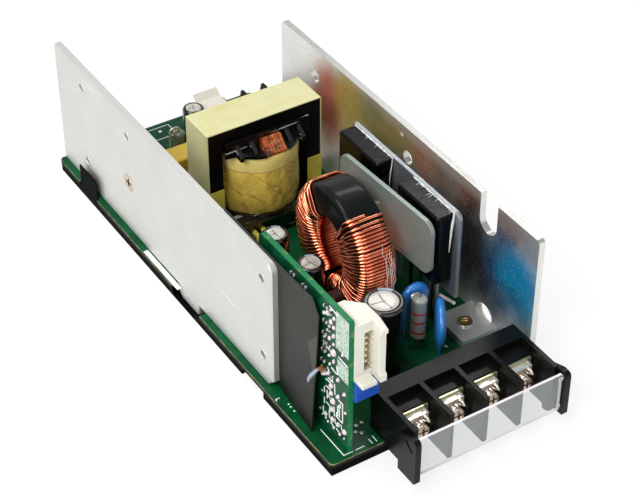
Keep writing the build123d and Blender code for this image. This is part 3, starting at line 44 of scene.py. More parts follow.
# where the part's origin lies, in millimetres from the corner of the board's top
originAt = np.array([35.2, 71.65, -4.4])
fullTurn = 2 * np.pi
print("frame loaded,", len(nodes), "nodes")


# Shapes: every point below is in board millimetres until it goes into a mesh

def inFrame(points):
    # the points counted from the part's origin, in metres
    return (np.asarray(points, float) - originAt) * mm


def unit(vectors):
    # each vector divided by its own length
    return vectors / np.maximum(np.linalg.norm(vectors, axis=-1, keepdims=True), 1e-9)


def gridFaces(rows, cols, wrapRows=False, wrapCols=False):
    # one quad between each point of a grid and its next neighbours
    r, c = np.meshgrid(np.arange(rows - (not wrapRows)), np.arange(cols - (not wrapCols)), indexing="ij")
    r, c = r.ravel(), c.ravel()
    r2, c2 = (r + 1) % rows, (c + 1) % cols
    return np.stack([r * cols + c, r2 * cols + c, r2 * cols + c2, r * cols + c2], 1)


def joined(parts):
    # several (points, faces, own) pieces as one, with the face numbers moved along
    starts = np.cumsum([0] + [len(p[0]) for p in parts[:-1]])
    points = np.concatenate([p[0] for p in parts])
    faces = np.concatenate([p[1] + s for p, s in zip(parts, starts)])
    own = np.concatenate([p[2] for p in parts])
    return points, faces, own


def tube(path, radius, side, sides=8, endless=False):
    # a round section along a path: path point + radius * (cos, sin) of two directions square to the path
    path = np.asarray(path, float)
    radius = np.broadcast_to(np.asarray(radius, float), len(path))
    along = np.roll(path, -1, 0) - np.roll(path, 1, 0) if endless else np.gradient(path, axis=0)
    across = unit(np.cross(unit(along), np.broadcast_to(side, path.shape)))
    up = unit(np.cross(across, along))
    turn = np.arange(sides) * fullTurn / sides
    ring = np.cos(turn)[:, None] * across[:, None] + np.sin(turn)[:, None] * up[:, None]
    if not endless:  # a point at each end closes it
        path = path[np.r_[0, np.arange(len(path)), len(path) - 1]]
        ring = ring[np.r_[0, np.arange(len(ring)), len(ring) - 1]]
        radius = np.r_[0, radius, 0]
    points = path[:, None] + radius[:, None, None] * ring
    own = np.zeros((points.size // 3, 3))
    own[:, 2] = np.repeat(np.linspace(0, 1, len(path)), sides)
    return points.reshape(-1, 3), gridFaces(len(path), sides, endless, True), own


def softPath(corners, count=40, blur=5):
    # points at even steps along straight runs, then each one averaged with its neighbours
    corners = np.asarray(corners, float)
    reach = np.r_[0, np.cumsum(np.linalg.norm(np.diff(corners, axis=0), axis=1))]
    steps = np.linspace(0, reach[-1], count)
    path = np.stack([np.interp(steps, reach, corners[:, k]) for k in range(3)], 1)
    padded = np.concatenate([np.repeat(path[:1], blur, 0), path, np.repeat(path[-1:], blur, 0)])
    kernel = np.ones(2 * blur + 1) / (2 * blur + 1)
    soft = np.stack([np.convolve(padded[:, k], kernel, "valid") for k in range(3)], 1)
    soft[0], soft[-1] = path[0], path[-1]
    return soft


def lathe(profile, sides=48):
    # radius and height pairs carried round the z axis; own = (x / r, y / r, z) of each point
    profile = np.asarray(profile, float)
    turn = np.arange(sides) * fullTurn / sides
    r, z = profile[:, 0][:, None], profile[:, 1][:, None]
    points = np.stack([r * np.cos(turn), r * np.sin(turn), z + 0 * turn], 2).reshape(-1, 3)
    own = points / [profile[:, 0].max(), profile[:, 0].max(), 1]
    return points, gridFaces(len(profile), sides, False, True), own


def slab(width, depth, height, corner=0.3, soften=0.1, steps=4):
    # a rounded rectangle stacked upwards, drawn in along a quarter circle at both ends
    turn = (np.arange(4 * steps) + 0.5) * fullTurn / (4 * steps)
    quarter = np.linspace(0, np.pi / 2, 3)
    inset = np.r_[soften * (1 - np.sin(quarter)), soften * (1 - np.cos(quarter))]
    level = np.r_[soften * (1 - np.cos(quarter)), height - soften * (1 - np.sin(quarter))]
    inset, level = np.r_[width, inset, width], np.r_[0, level, height]  # the ends close in the middle
    flat = []
    for size, wave in ((width, np.cos(turn)), (depth, np.sin(turn))):
        half = np.maximum(size / 2 - inset, 0)[:, None]
        flat.append(np.sign(wave) * np.maximum(half - corner, 0) + np.minimum(corner, half) * wave)
    points = np.stack([flat[0], flat[1], level[:, None] + 0 * turn], 2).reshape(-1, 3)
    return points, gridFaces(len(level), len(turn), False, True), points.copy()


def moved(part, at=(0, 0, 0), yaw=0.0, axis="z"):
    # the part stood along z or y, turned about z by yaw degrees, and carried to its place
    points = part[0][:, [1, 2, 0]] if axis == "y" else part[0]
    c, s = np.cos(np.radians(yaw)), np.sin(np.radians(yaw))
    return points @ np.array([[c, s, 0], [-s, c, 0], [0, 0, 1]]) + np.asarray(at, float), part[1], part[2]


def block(low, high, corner, soften):
    # a slab that fills the box between two corners
    low, high = np.asarray(low, float), np.asarray(high, float)
    size = high - low
    middle = (low + high) / 2
    return moved(slab(size[0], size[1], size[2], corner, soften, 2), (middle[0], middle[1], low[2]))


def addPiece(name, parts, finish, stands=(), body="supply", crease=38):
    # merges the doubled points of seams and poles, turns the faces out and marks the sharp edges
    points, faces, own = joined(parts)
    mesh = bpy.data.meshes.new(name)
    mesh.from_pydata(inFrame(points).tolist(), [], faces.tolist())
    layer = mesh.attributes.new("own", "FLOAT_VECTOR", "POINT")
    layer.data.foreach_set("vector", own.astype(np.float32).ravel())
    work = bmesh.new()
    work.from_mesh(mesh)
    bmesh.ops.remove_doubles(work, verts=work.verts, dist=2e-7)
    bmesh.ops.dissolve_degenerate(work, edges=work.edges, dist=1e-8)
    bmesh.ops.recalc_face_normals(work, faces=work.faces)
    for face in work.faces:
        face.smooth = True
    for edge in work.edges:
        edge.smooth = edge.calc_face_angle(0) < np.radians(crease)
    work.to_mesh(mesh)
    work.free()
    mesh.materials.append(finish)
    piece = bpy.data.objects.new(name, mesh)
    bpy.context.scene.collection.objects.link(piece)
    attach(piece, body)
    if stands:
        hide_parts(*stands)


def softened(node, finish, width, body):
    # the node's own shape, merged, with flat faces made whole and every sharp edge rounded
    mesh = nodes[node].data.copy()
    mesh.name = node + "_soft"
    work = bmesh.new()
    work.from_mesh(mesh)
    bmesh.ops.remove_doubles(work, verts=work.verts, dist=1e-6)
    bmesh.ops.dissolve_limit(work, angle_limit=np.radians(1.0), verts=work.verts, edges=work.edges)
    for face in work.faces:
        face.smooth = True
    for edge in work.edges:
        edge.smooth = edge.calc_face_angle(0) < np.radians(30)
    work.to_mesh(mesh)
    work.free()
    mesh.materials.clear()
    mesh.materials.append(finish)
    piece = bpy.data.objects.new(node + "_soft", mesh)
    bpy.context.scene.collection.objects.link(piece)
    bevel = piece.modifiers.new("edges", "BEVEL")
    bevel.width = width * mm
    bevel.segments = 2
    bevel.limit_method = "ANGLE"
    bevel.angle_limit = np.radians(32)
    bevel.harden_normals = True
    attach(piece, body)
    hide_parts(node)


# Finishes

def linear(colour):
    # an 8-bit screen colour as the light values that a socket takes
    c = np.asarray(colour, float) / 255
    return (*np.where(c <= 0.04045, c / 12.92, ((c + 0.055) / 1.055) ** 2.4).tolist(), 1.0)


def addNode(tree, kind, settings=None, inputs=None, out=0):
    # settings go on first, then the sockets' values or links
    node = tree.nodes.new(kind)
    for key, value in (settings or {}).items():
        setattr(node, key, value)
    for key, value in (inputs or {}).items():
        if isinstance(value, Sock):
            tree.links.new(value.socket, node.inputs[key])
        else:
            node.inputs[key].default_value = value
    return Sock(node.outputs[out])


class Sock:
    # a node's output that can be used in plain sums
    def __init__(self, socket):
        self.socket = socket

    def maths(self, operation, first, second=0.0):
        inputs = {0: first, 1: second}
        return addNode(self.socket.id_data, "ShaderNodeMath", {"operation": operation}, inputs)

    def __add__(self, other):
        return self.maths("ADD", self, other)

    def __radd__(self, other):
        return self.maths("ADD", other, self)

    def __sub__(self, other):
        return self.maths("SUBTRACT", self, other)

    def __rsub__(self, other):
        return self.maths("SUBTRACT", other, self)

    def __mul__(self, other):
        return self.maths("MULTIPLY", self, other)

    def __rmul__(self, other):
        return self.maths("MULTIPLY", other, self)

    def __truediv__(self, other):
        return self.maths("DIVIDE", self, other)

    def __abs__(self):
        return self.maths("ABSOLUTE", self)

    def highest(self, other):
        return self.maths("MAXIMUM", self, other)

    def angle(self, across):
        # the angle of the point (across, self) round the origin, in radians
        return self.maths("ARCTAN2", self, across)

    def root(self):
        return self.maths("SQRT", self)

    def fraction(self):
        return self.maths("FRACT", self)

    def over(self, edge, soft=0.02):
        # 0 below the edge, 1 above it, with a smooth step between
        ends = {"Value": self, "From Min": edge - soft, "From Max": edge + soft}
        return addNode(self.socket.id_data, "ShaderNodeMapRange", {"interpolation_type": "SMOOTHSTEP"}, ends)


class Finish:
    # one procedural material, and the few patterns that the finishes share
    def __init__(self, name, **sockets):
        self.material = bpy.data.materials.new(name)
        self.material.use_nodes = True
        self.tree = self.material.node_tree
        self.shader = self.tree.nodes["Principled BSDF"]
        self.place = self.node("ShaderNodeTexCoord", out="Object")
        self.set(**sockets)

    def node(self, kind, settings=None, inputs=None, out=0):
        return addNode(self.tree, kind, settings, inputs, out)

    def set(self, **sockets):
        for key, value in sockets.items():
            socket = self.shader.inputs[key.replace("_", " ")]
            if isinstance(value, Sock):
                self.tree.links.new(value.socket, socket)
            else:
                socket.default_value = value

    def noise(self, size, detail=2.0, rough=0.5, stretch=(1, 1, 1), turn=(0, 0, 0), vector=None):
        # cloudy values about 0.5, with patches of that many millimetres
        grain = tuple(s / (size * mm) for s in stretch)
        placed = {"Vector": vector or self.place, "Scale": grain, "Rotation": turn}
        spread = self.node("ShaderNodeMapping", None, placed)
        pattern = {"Vector": spread, "Scale": 1.0, "Detail": detail, "Roughness": rough}
        return self.node("ShaderNodeTexNoise", None, pattern)

    def mix(self, amount, first, second):
        # the first colour where the amount is 0, the second where it is 1
        ends = {0: amount, 6: first, 7: second}
        return self.node("ShaderNodeMix", {"data_type": "RGBA"}, ends, 2)

    def axes(self, kind):
        # the three parts of the surface direction, the place or the piece's own coordinates
        if kind == "facing":
            vector = self.node("ShaderNodeNewGeometry", out="Normal")
        elif kind == "own":
            vector = self.node("ShaderNodeAttribute", {"attribute_name": "own"}, out="Vector")
        else:
            vector = self.place
        return [self.node("ShaderNodeSeparateXYZ", None, {0: vector}, k) for k in range(3)]

    def place3(self):
        # the place as x, y and z in board millimetres
        return [part / mm + float(start) for part, start in zip(self.axes("place"), originAt)]

    def bump(self, height, depth):
        # depth in millimetres
        relief = {"Height": height, "Distance": depth * mm, "Strength": 1.0}
        self.set(Normal=self.node("ShaderNodeBump", None, relief))


def giveFinish(finish, *names):
    # the same finish in every material slot of the named nodes
    for name in names:
        for slot in nodes[name].material_slots:
            slot.material = finish


def lacquer(f, look):
    # square-set copper lines and patches under coloured lacquer: their colour, and their height
    places = f.place3()
    flat = {k: places[way] for k, way in enumerate(look["plane"])}
    sizes = {"Vector": f.node("ShaderNodeCombineXYZ", None, flat), "Scale": 1 / look["lineSize"],
             "Mortar Size": 0.05, "Mortar Smooth": 0.2, "Brick Width": 2.3, "Row Height": 0.8}
    layout = {"offset": 0.37, "squash": 0.6, "squash_frequency": 3}
    lines = 1 - f.node("ShaderNodeTexBrick", layout, sizes, 1)
    patches = f.noise(look["patchSize"], 1.0).over(0.52, 0.02)
    tone = f.mix(lines, linear(look["line"]), linear(look["base"]))
    tone = f.mix(patches * 0.55, tone, linear(look["patch"]))
    return f.mix(f.noise(5, 3.0) * 0.5, tone, linear(look["shade"])), lines * 0.6 + patches * 0.4


def boardFinish(name, look):
    # lacquered faces; the raw edge is pale only just under the top, and painted shade below it
    f = Finish(name, Coat_Weight=0.03, Coat_Roughness=0.15, Specular_IOR_Level=0.15)
    flat = abs(f.axes("facing")[2]).over(0.6, 0.1)
    tone, height = lacquer(f, look)
    top = f.place3()[2].over(-0.5, 0.06)
    strands = f.noise(0.8, 2.0, 0.6, (0.3, 0.3, 1)).over(0.5, 0.1)
    raw = f.mix(strands, linear(look["edge"]), linear(look["edgeDark"]))
    # the raw edge below its pale top strip takes the under colour as painted shade
    f.set(Base_Color=f.mix(flat, f.mix(top, linear(look["under"]), raw), tone), Roughness=0.6 - 0.25 * flat)
    f.bump(height + f.noise(0.5) * 0.3, 0.03)
    return f.material


def cardFinish(name, look):
    # as the board, with green edges that show tan spots, and stippled pale print on the left face
    f = Finish(name, Coat_Weight=0.03, Coat_Roughness=0.12, Specular_IOR_Level=0.15)
    facing = f.axes("facing")[0]
    _, y, z = f.place3()
    tone, height = lacquer(f, look)
    stipple = f.noise(0.55, 2.0, 0.7).over(0.42, 0.12)
    cover = 0.0
    for y0, z0, y1, z1 in look["prints"]:
        inside = y.over(y0, 0.1) * (1 - y.over(y1, 0.1)) * z.over(z0, 0.1) * (1 - z.over(z1, 0.1))
        cover = inside.highest(cover)
    cover = cover * (1 - facing.over(-0.5, 0.1))
    pale = f.mix(stipple, linear(look["stipple"]), linear(look["print"]))
    tone = f.mix(cover, tone, pale)
    spots = f.noise(2.6, 2.0, 0.6).over(0.62, 0.06)
    edge = f.mix(spots * 0.8, linear(look["edge"]), linear(look["edgeSpot"]))
    f.set(Base_Color=f.mix(abs(facing).over(0.6, 0.1), edge, tone), Roughness=0.34 + cover * 0.2)
    f.bump(height + stipple * cover * 0.8 + f.noise(0.5) * 0.3, 0.03)
    return f.material


def plateFinish(name, look):
    # rolled aluminium: soft clouding, fine grain along the sheet, thin scratches, and on a plate
    # with painted reflections: their blurred patches on the inner face, bright specks there, and painted
    # shade on the faces that look up
    f = Finish(name, Metallic=look["metal"])
    grain = f.noise(look["grainSize"], 3.0, 0.6, look["grainWay"])
    cloud = f.noise(14, 3.0)
    scratch = f.noise(1.1, 2.0, 0.5, (1, 0.05, 1), (0.5, 0.2, 0.0)).over(0.71, 0.015)
    tone = f.mix(cloud.over(0.5, 0.35), linear(look["base"]), linear(look["cloud"]))
    tone = f.mix(grain * look["grainTone"], tone, linear(look["dark"]))
    tone = f.mix(scratch * 0.5, tone, linear(look["bright"]))
    if "paintedReflections" in look:
        _, y, z = f.place3()
        inner = 1 - f.axes("facing")[0].over(-0.5, 0.1)
        blur = f.noise(6, 3.0, 0.6)
        # blurred patches of painted reflection on the inner face
        for cy, cz, ry, rz, amount, colour in look["paintedReflections"]:
            along, up = (y - cy) / ry, (z - cz) / rz
            far = along * along + up * up + (blur - 0.5) * 0.9
            tone = f.mix((1 - far.over(0.75, 0.7)) * inner * amount, tone, linear(colour))
        speck = f.noise(0.36, 1.0).over(0.7, 0.02) * f.noise(9, 2.0).over(0.45, 0.1) * inner
        tone = f.mix(speck, tone, linear(look["bright"]))
        # painted shade on the faces that look up, such as the top edge
        tone = f.mix(f.axes("facing")[2].over(0.6, 0.1) * 0.6, tone, linear(look["dark"]))
        f.set(Metallic=look["metal"] * (1 - speck))
    rough = look["rough"] + (grain - 0.5) * 0.14 + (cloud - 0.5) * 0.08 + scratch * 0.1
    f.set(Base_Color=tone, Roughness=rough)
    f.bump(grain * 0.7 + scratch * 0.6, look["depth"])
    return f.material


def metalFinish(name, base, rough, dark, grain=0.5, metal=1.0):
    # plated or plain metal: darker clouds and a fine uneven gloss
    f = Finish(name, Metallic=metal)
    cloud = f.noise(2.5, 3.0)
    fine = f.noise(grain, 2.0)
    tone = f.mix(cloud * 0.7, linear(base), linear(dark))
    f.set(Base_Color=tone, Roughness=rough + (fine - 0.5) * 0.16)
    f.bump(fine, 0.012)
    return f.material


def plasticFinish(name, base, rough, worn, grain=0.35, coat=0.0, depth=0.015, shine=0.5):
    # moulded plastic: fine spark grain, slight clouding, paler scuffs
    f = Finish(name, Coat_Weight=coat, Coat_Roughness=0.08, Specular_IOR_Level=shine)
    fine = f.noise(grain, 3.0, 0.6)
    cloud = f.noise(7, 3.0)
    scuff = f.noise(1.6, 4.0, 0.7).over(0.66, 0.05)
    tone = f.mix(cloud * 0.45, linear(base), linear(worn))
    tone = f.mix(scuff * 0.35, tone, linear(worn))
    f.set(Base_Color=tone, Roughness=rough + (fine - 0.5) * 0.15 + scuff * 0.1)
    f.bump(fine + scuff * 0.3, depth)
    return f.material


def tapeFinish(name, look):
    # thin glossy tape: deeper patches where it overlaps, and painted shade along its wrinkles
    f = Finish(name, Coat_Weight=0.6, Coat_Roughness=0.1, Subsurface_Weight=0.05)
    wrinkle = f.noise(look["wrinkle"], 3.0, 0.55, look["way"])
    patch = f.noise(6, 2.0).over(0.52, 0.2)
    tone = f.mix(patch * 0.6, linear(look["base"]), linear(look["deep"]))
    # painted shade along the wrinkles
    tone = f.mix(wrinkle.over(0.62, 0.12) * 0.45, tone, linear(look["dark"]))
    f.set(Base_Color=tone, Roughness=0.3 + (wrinkle - 0.5) * 0.2)
    f.bump(wrinkle, look["depth"])
    return f.material


def coilFinish(look):
    # the coil's tape: a paler band round the top, and folds that run down aslant below it, with painted shade
    # in the folds, in the creases and towards the foot
    f = Finish("coil_tape", Coat_Weight=0.5, Coat_Roughness=0.12, Subsurface_Weight=0.05)
    x, y, z = f.axes("own")
    reach = y.angle(x) * look["radius"]
    aslant = {0: (reach - z * 0.6) * mm, 1: (z + reach * 0.7) * mm}
    slant = f.node("ShaderNodeCombineXYZ", None, aslant)
    fold = f.noise(9, 3.5, 0.62, (1, 0.55, 1), vector=slant)
    band = z.over(look["band"], 0.12)
    # painted shade: deeper where the folds rise
    tone = f.mix(fold.over(0.56, 0.1), linear(look["base"]), linear(look["deep"]))
    crease = f.noise(4, 2.0, 0.5, (0.4, 1.6, 1), vector=slant).over(0.64, 0.06)
    # painted shade in the creases
    tone = f.mix(crease * 0.4, tone, linear(look["dark"]))
    # painted shade towards the foot
    tone = f.mix((1 - z.over(3.5, 3.5)) * 0.5, tone, linear(look["low"]))
    tone = f.mix(band * 0.7, tone, linear(look["pale"]))
    seam = 1 - abs(z - look["band"]).over(0.2, 0.12)
    tone = f.mix(seam * 0.7, tone, linear(look["dark"]))
    f.set(Base_Color=tone, Roughness=0.28 + (fold - 0.5) * 0.2)
    f.bump((fold * 2.4 - crease * 0.3) * (1 - band * 0.8) + band * 0.7, look["depth"])
    return f.material


def filmFinish(look):
    # matt film: painted shade darkening it towards the board, and painted light on one paler folded corner
    # between two straight creases
    f = Finish("grey_film", Specular_IOR_Level=0.2)
    _, y, z = f.place3()
    fine = f.noise(0.8, 3.0, 0.6)
    tone = f.mix(f.noise(7, 3.0) * 0.8, linear(look["base"]), linear(look["cloud"]))
    # painted shade towards the board
    tone = f.mix((1 - z.over(14.0, 18.0)) * 0.85, tone, linear(look["low"]))
    above = (z - look["z"] - (y - look["y"]) * look["rise"]).over(0, 0.5)
    below = 1 - (z - look["z"] - (y - look["y"]) * look["fall"]).over(0, 0.5)
    litFold = above * below
    # painted light on the folded corner
    tone = f.mix(litFold * 0.45, tone, linear(look["fold"]))
    f.set(Base_Color=tone, Roughness=0.5 + (fine - 0.5) * 0.15)
    f.bump(fine + litFold * 2.0, 0.02)
    return f.material


def exitFinish(look):
    # brown varnish over copper strands, with bright spots that are partly thin varnish and partly painted
    # glints
    f = Finish("varnished_copper", Coat_Weight=0.7, Coat_Roughness=0.1)
    blotch = f.noise(1.6, 3.0, 0.6)
    thinVarnishAndGlint = f.noise(0.9, 2.0, 0.6, (0.4, 1, 1)).over(0.6, 0.04)
    tone = f.mix(blotch.over(0.5, 0.12), linear(look["copper"]), linear(look["varnish"]))
    # bright spots: thin varnish and painted glints
    tone = f.mix(thinVarnishAndGlint * 0.35, tone, linear(look["bright"]))
    f.set(Base_Color=tone, Roughness=0.3 + (blotch - 0.5) * 0.2)
    f.bump(blotch, 0.2)
    return f.material


def bobbinFinish(look):
    # glossy black moulding with thin pale streaks of painted glint along it
    f = Finish("black_bobbin", Coat_Weight=0.5, Coat_Roughness=0.06)
    # thin pale streaks of painted glint
    paintedGlint = f.noise(0.75, 2.0, 0.5, (0.05, 0.4, 1)).over(0.65, 0.012)
    cloud = f.noise(3, 3.0)
    tone = f.mix(cloud * 0.5, linear(look["base"]), linear(look["cloud"]))
    f.set(Base_Color=f.mix(paintedGlint * 0.85, tone, linear(look["paintedGlint"])), Roughness=0.18 + cloud * 0.1)
    f.bump(cloud + paintedGlint * 0.3, 0.08)
    return f.material


def copperFinish(look):
    # enamelled wire: orange copper under clear gloss, darker where the enamel is thick
    f = Finish("copper_wire", Metallic=1.0, Coat_Weight=0.8, Coat_Roughness=0.05)
    dull = f.noise(3.0, 3.0).over(0.5, 0.2)
    fine = f.noise(0.6, 2.0)
    tone = f.mix(dull * 0.6, linear(look["bright"]), linear(look["dull"]))
    f.set(Base_Color=tone, Roughness=0.14 + (fine - 0.5) * 0.1)
    f.bump(fine, 0.01)
    return f.material


def coverFinish(look):
    # clear plastic: most of it lets the scene through; its cut edges gather light and show pale
    f = Finish("clear_cover", Coat_Weight=0.4, Coat_Roughness=0.05)
    cloud = f.noise(12, 2.0)
    edge = 1 - abs(f.axes("facing")[1]).over(0.6, 0.2)
    tone = f.mix(cloud * 0.6, linear(look["clear"]), linear(look["cloud"]))
    tone = f.mix(edge, tone, linear(look["edge"]))
    alpha = look["alpha"] + (cloud - 0.5) * 0.06 + edge * 0.5
    f.set(Base_Color=tone, Alpha=alpha, Roughness=0.14 + cloud * 0.08)
    f.bump(f.noise(6.0, 1.0), 0.006)
    return f.material


boardLook = {"base": (4, 74, 40), "line": (3, 62, 34), "patch": (8, 92, 52), "shade": (2, 34, 20),
             "edge": (140, 136, 86), "edgeDark": (70, 84, 44), "under": (8, 12, 8),
             "lineSize": 5.5, "patchSize": 9, "plane": (0, 1)}
# each print: where it starts along the card and up it, and where it ends
cardLook = {"base": (4, 70, 42), "line": (3, 44, 28), "patch": (16, 98, 62), "shade": (2, 42, 26),
            "edge": (12, 112, 66), "edgeSpot": (112, 132, 70), "stipple": (74, 128, 104),
            "print": (186, 200, 190), "lineSize": 2.6, "patchSize": 4, "plane": (1, 2),
            "prints": [(1.5, 32.8, 7.6, 45.0), (1.4, 24.0, 6.7, 29.6)]}
leftLook = {"base": (220, 220, 216), "cloud": (212, 212, 207), "dark": (176, 176, 172),
            "bright": (246, 246, 244), "metal": 0.75, "rough": 0.5, "depth": 0.02,
            "grainSize": 0.5, "grainWay": (1, 1, 1), "grainTone": 0.28}
# each painted reflection: its middle along the plate and up it, its reach both ways, its strength and colour;
# these patches paint the plate's blurred reflections of the parts beside it, dark ones among them
rightLook = {"base": (240, 240, 236), "cloud": (226, 227, 222), "dark": (150, 151, 148),
             "bright": (250, 250, 250), "metal": 0.6, "rough": 0.3, "depth": 0.008,
             "grainSize": 0.6, "grainWay": (1, 0.12, 1), "grainTone": 0.28,
             "paintedReflections": [(62, 24, 46, 28, 0.45, (112, 104, 90)), (108, 27, 9, 15, 0.85, (196, 104, 72)),
                        (96, 32, 9, 14, 0.85, (196, 172, 66)), (82, 35, 11, 9, 0.8, (156, 148, 62)),
                        (68, 37, 11, 9, 0.8, (170, 146, 76)), (56, 37, 8, 9, 0.75, (196, 120, 84)),
                        (44, 36, 10, 13, 0.75, (134, 108, 92)), (35, 39, 6, 8, 0.75, (158, 98, 72)),
                        (32, 22, 10, 18, 0.9, (40, 38, 38)), (19, 38, 9, 7, 0.7, (140, 104, 88)),
                        (23, 12, 9, 14, 0.85, (28, 46, 66)), (19, 25, 10, 12, 0.85, (24, 92, 140)),
                        (11, 22, 11, 13, 0.97, (0, 166, 220)), (14, 12, 10, 8, 0.6, (44, 96, 130)),
                        (6, 40, 9, 8, 0.5, (116, 128, 132)), (56, 45, 46, 6.5, 0.65, (216, 208, 196))]}
sinkLook = {"base": (178, 184, 190), "cloud": (160, 167, 174), "dark": (124, 129, 132),
            "bright": (216, 220, 222), "metal": 0.85, "rough": 0.4, "depth": 0.015,
            "grainSize": 0.5, "grainWay": (1, 0.3, 1), "grainTone": 0.4}
clampLook = {"base": (148, 160, 154), "cloud": (134, 146, 139), "dark": (98, 108, 102),
             "bright": (226, 230, 226), "metal": 0.35, "rough": 0.36, "depth": 0.01,
             "grainSize": 0.6, "grainWay": (1, 0.5, 1), "grainTone": 0.3}
# the film's corner with painted light starts at y and z; its two creases rise and fall by so much a
# millimetre; low is the painted shade towards the board
filmLook = {"base": (40, 41, 37), "cloud": (50, 51, 46), "fold": (84, 85, 80), "low": (10, 13, 9),
            "y": 17.6, "z": 28.1, "rise": 2.18, "fall": -1.16}
coreTapeLook = {"base": (212, 209, 160), "deep": (210, 202, 140), "dark": (200, 184, 104),
                "wrinkle": 5.0, "way": (0.3, 1, 0.3), "depth": 0.05}
legTapeLook = {"base": (222, 206, 84), "deep": (206, 182, 60), "dark": (150, 126, 44),
               "wrinkle": 3.0, "way": (1, 1, 0.3), "depth": 0.06}
# deep, dark and low are painted shade; dark also draws the band's seam
coilTapeLook = {"base": (238, 206, 94), "deep": (216, 182, 80), "dark": (158, 110, 46),
                "low": (160, 130, 48), "pale": (238, 222, 140), "band": 15.4, "radius": 13.5,
                "depth": 0.6}
# bright is the colour of the thin spots and the painted glints
exitLook = {"copper": (176, 84, 34), "varnish": (84, 36, 18), "bright": (232, 170, 110)}
# the pale streak colour is painted glint
bobbinLook = {"base": (3, 3, 4), "cloud": (9, 9, 10), "paintedGlint": (190, 194, 192)}
copperLook = {"bright": (250, 150, 108), "dull": (206, 76, 44)}
coverLook = {"clear": (200, 205, 206), "cloud": (184, 190, 190), "edge": (232, 222, 226), "alpha": 0.24}

boardSkin = boardFinish("board_lacquer", boardLook)
cardSkin = cardFinish("card_lacquer", cardLook)
leftSkin = plateFinish("left_plate_metal", leftLook)
rightSkin = plateFinish("right_plate_metal", rightLook)
sinkSkin = plateFinish("sink_metal", sinkLook)
clampSkin = plateFinish("clamp_metal", clampLook)
filmSkin = filmFinish(filmLook)
coreTapeSkin = tapeFinish("pale_tape", coreTapeLook)
legTapeSkin = tapeFinish("leg_tape", legTapeLook)
coilTapeSkin = coilFinish(coilTapeLook)
exitSkin = exitFinish(exitLook)
bobbinSkin = bobbinFinish(bobbinLook)
copperSkin = copperFinish(copperLook)
coverSkin = coverFinish(coverLook)

# metals: colour, roughness, colour of the darker clouds
nickelSkin = metalFinish("nickel", (222, 216, 204), 0.22, (176, 164, 140))
screwSkin = metalFinish("screw_nickel", (226, 214, 198), 0.16, (150, 122, 98), grain=0.8)
saddleSkin = metalFinish("terminal_tin", (240, 236, 230), 0.2, (206, 196, 180), grain=0.8, metal=0.65)
strapSkin = metalFinish("plated_strap", (206, 204, 168), 0.2, (160, 158, 112), grain=0.8, metal=0.8)
tinSkin = metalFinish("tin", (206, 207, 204), 0.32, (150, 150, 146))
brassSkin = metalFinish("brass", (196, 158, 92), 0.3, (120, 84, 44))

# plastics and lacquers: colour, roughness, colour of the worn spots
solderSkin = plasticFinish("solder", (214, 202, 205), 0.14, (170, 160, 164), grain=0.6, coat=0.6, depth=0.03)
blackSkin = plasticFinish("black_moulding", (8, 9, 8), 0.3, (22, 22, 21), grain=0.25, depth=0.008, shine=0.14)
sleeveSkin = plasticFinish("black_sleeve", (8, 8, 9), 0.3, (20, 20, 21), coat=0.2, shine=0.3)
sheetSkin = plasticFinish("black_sheet", (4, 4, 4), 0.7, (7, 8, 7), grain=0.6, shine=0.04)
ivorySkin = plasticFinish("ivory_moulding", (220, 219, 209), 0.38, (208, 202, 182), coat=0.1)
blueSkin = plasticFinish("blue_moulding", (18, 72, 170), 0.32, (50, 104, 190), coat=0.3)
ferriteSkin = plasticFinish("ferrite", (6, 6, 6), 0.28, (14, 14, 13), grain=0.25, coat=0.06, shine=0.16)
ringSkin = plasticFinish("black_lacquer", (9, 12, 13), 0.36, (20, 24, 25), grain=1.2, coat=0.1,
                         depth=0.02, shine=0.12)
capSkin = plasticFinish("wrinkled_cap", (4, 4, 4), 0.2, (9, 9, 10), grain=2.4, coat=0.12,
                        depth=0.06, shine=0.14)
boxSkin = plasticFinish("yellow_box", (208, 178, 62), 0.4, (170, 138, 40))
paleSkin = plasticFinish("pale_guard", (214, 212, 200), 0.4, (184, 180, 166))
fuseSkin = plasticFinish("white_tube", (226, 224, 214), 0.3, (196, 192, 180), coat=0.4)
chipSkin = plasticFinish("grey_chip", (48, 48, 50), 0.5, (84, 84, 84))
# the header pins are given a pale ivory as painted light over the shade they stand in
litPinSkin = plasticFinish("pin_painted_light", (240, 234, 206), 0.4, (224, 214, 184))
padSkin = plasticFinish("grey_pad", (150, 152, 150), 0.6, (120, 122, 120), grain=0.8)
maroonSkin = plasticFinish("dark_sleeve", (56, 24, 26), 0.4, (84, 48, 48), coat=0.3)
leadSkin = plasticFinish("blue_lead", (126, 140, 160), 0.4, (170, 178, 190), coat=0.3)
pasteSkin = plasticFinish("white_paste", (226, 228, 226), 0.4, (196, 198, 196), grain=0.8, depth=0.04)
# the pins' pale rims are painted light on clear edges
litRimSkin = plasticFinish("rim_painted_light", (206, 200, 204), 0.3, (180, 176, 180))
# the ribs' beige is painted shade on the ivory of the header
shadedRibSkin = plasticFinish("rib_painted_shade", (206, 198, 166), 0.45, (190, 182, 150))
glueSkin = plasticFinish("dried_glue", (200, 186, 186), 0.2, (176, 160, 160), coat=0.6)
beadSkin = plasticFinish("brown_bead", (150, 88, 40), 0.3, (104, 58, 26), coat=0.5)
print("finishes made")


# The choke: a lacquered ring in two coils of round wire

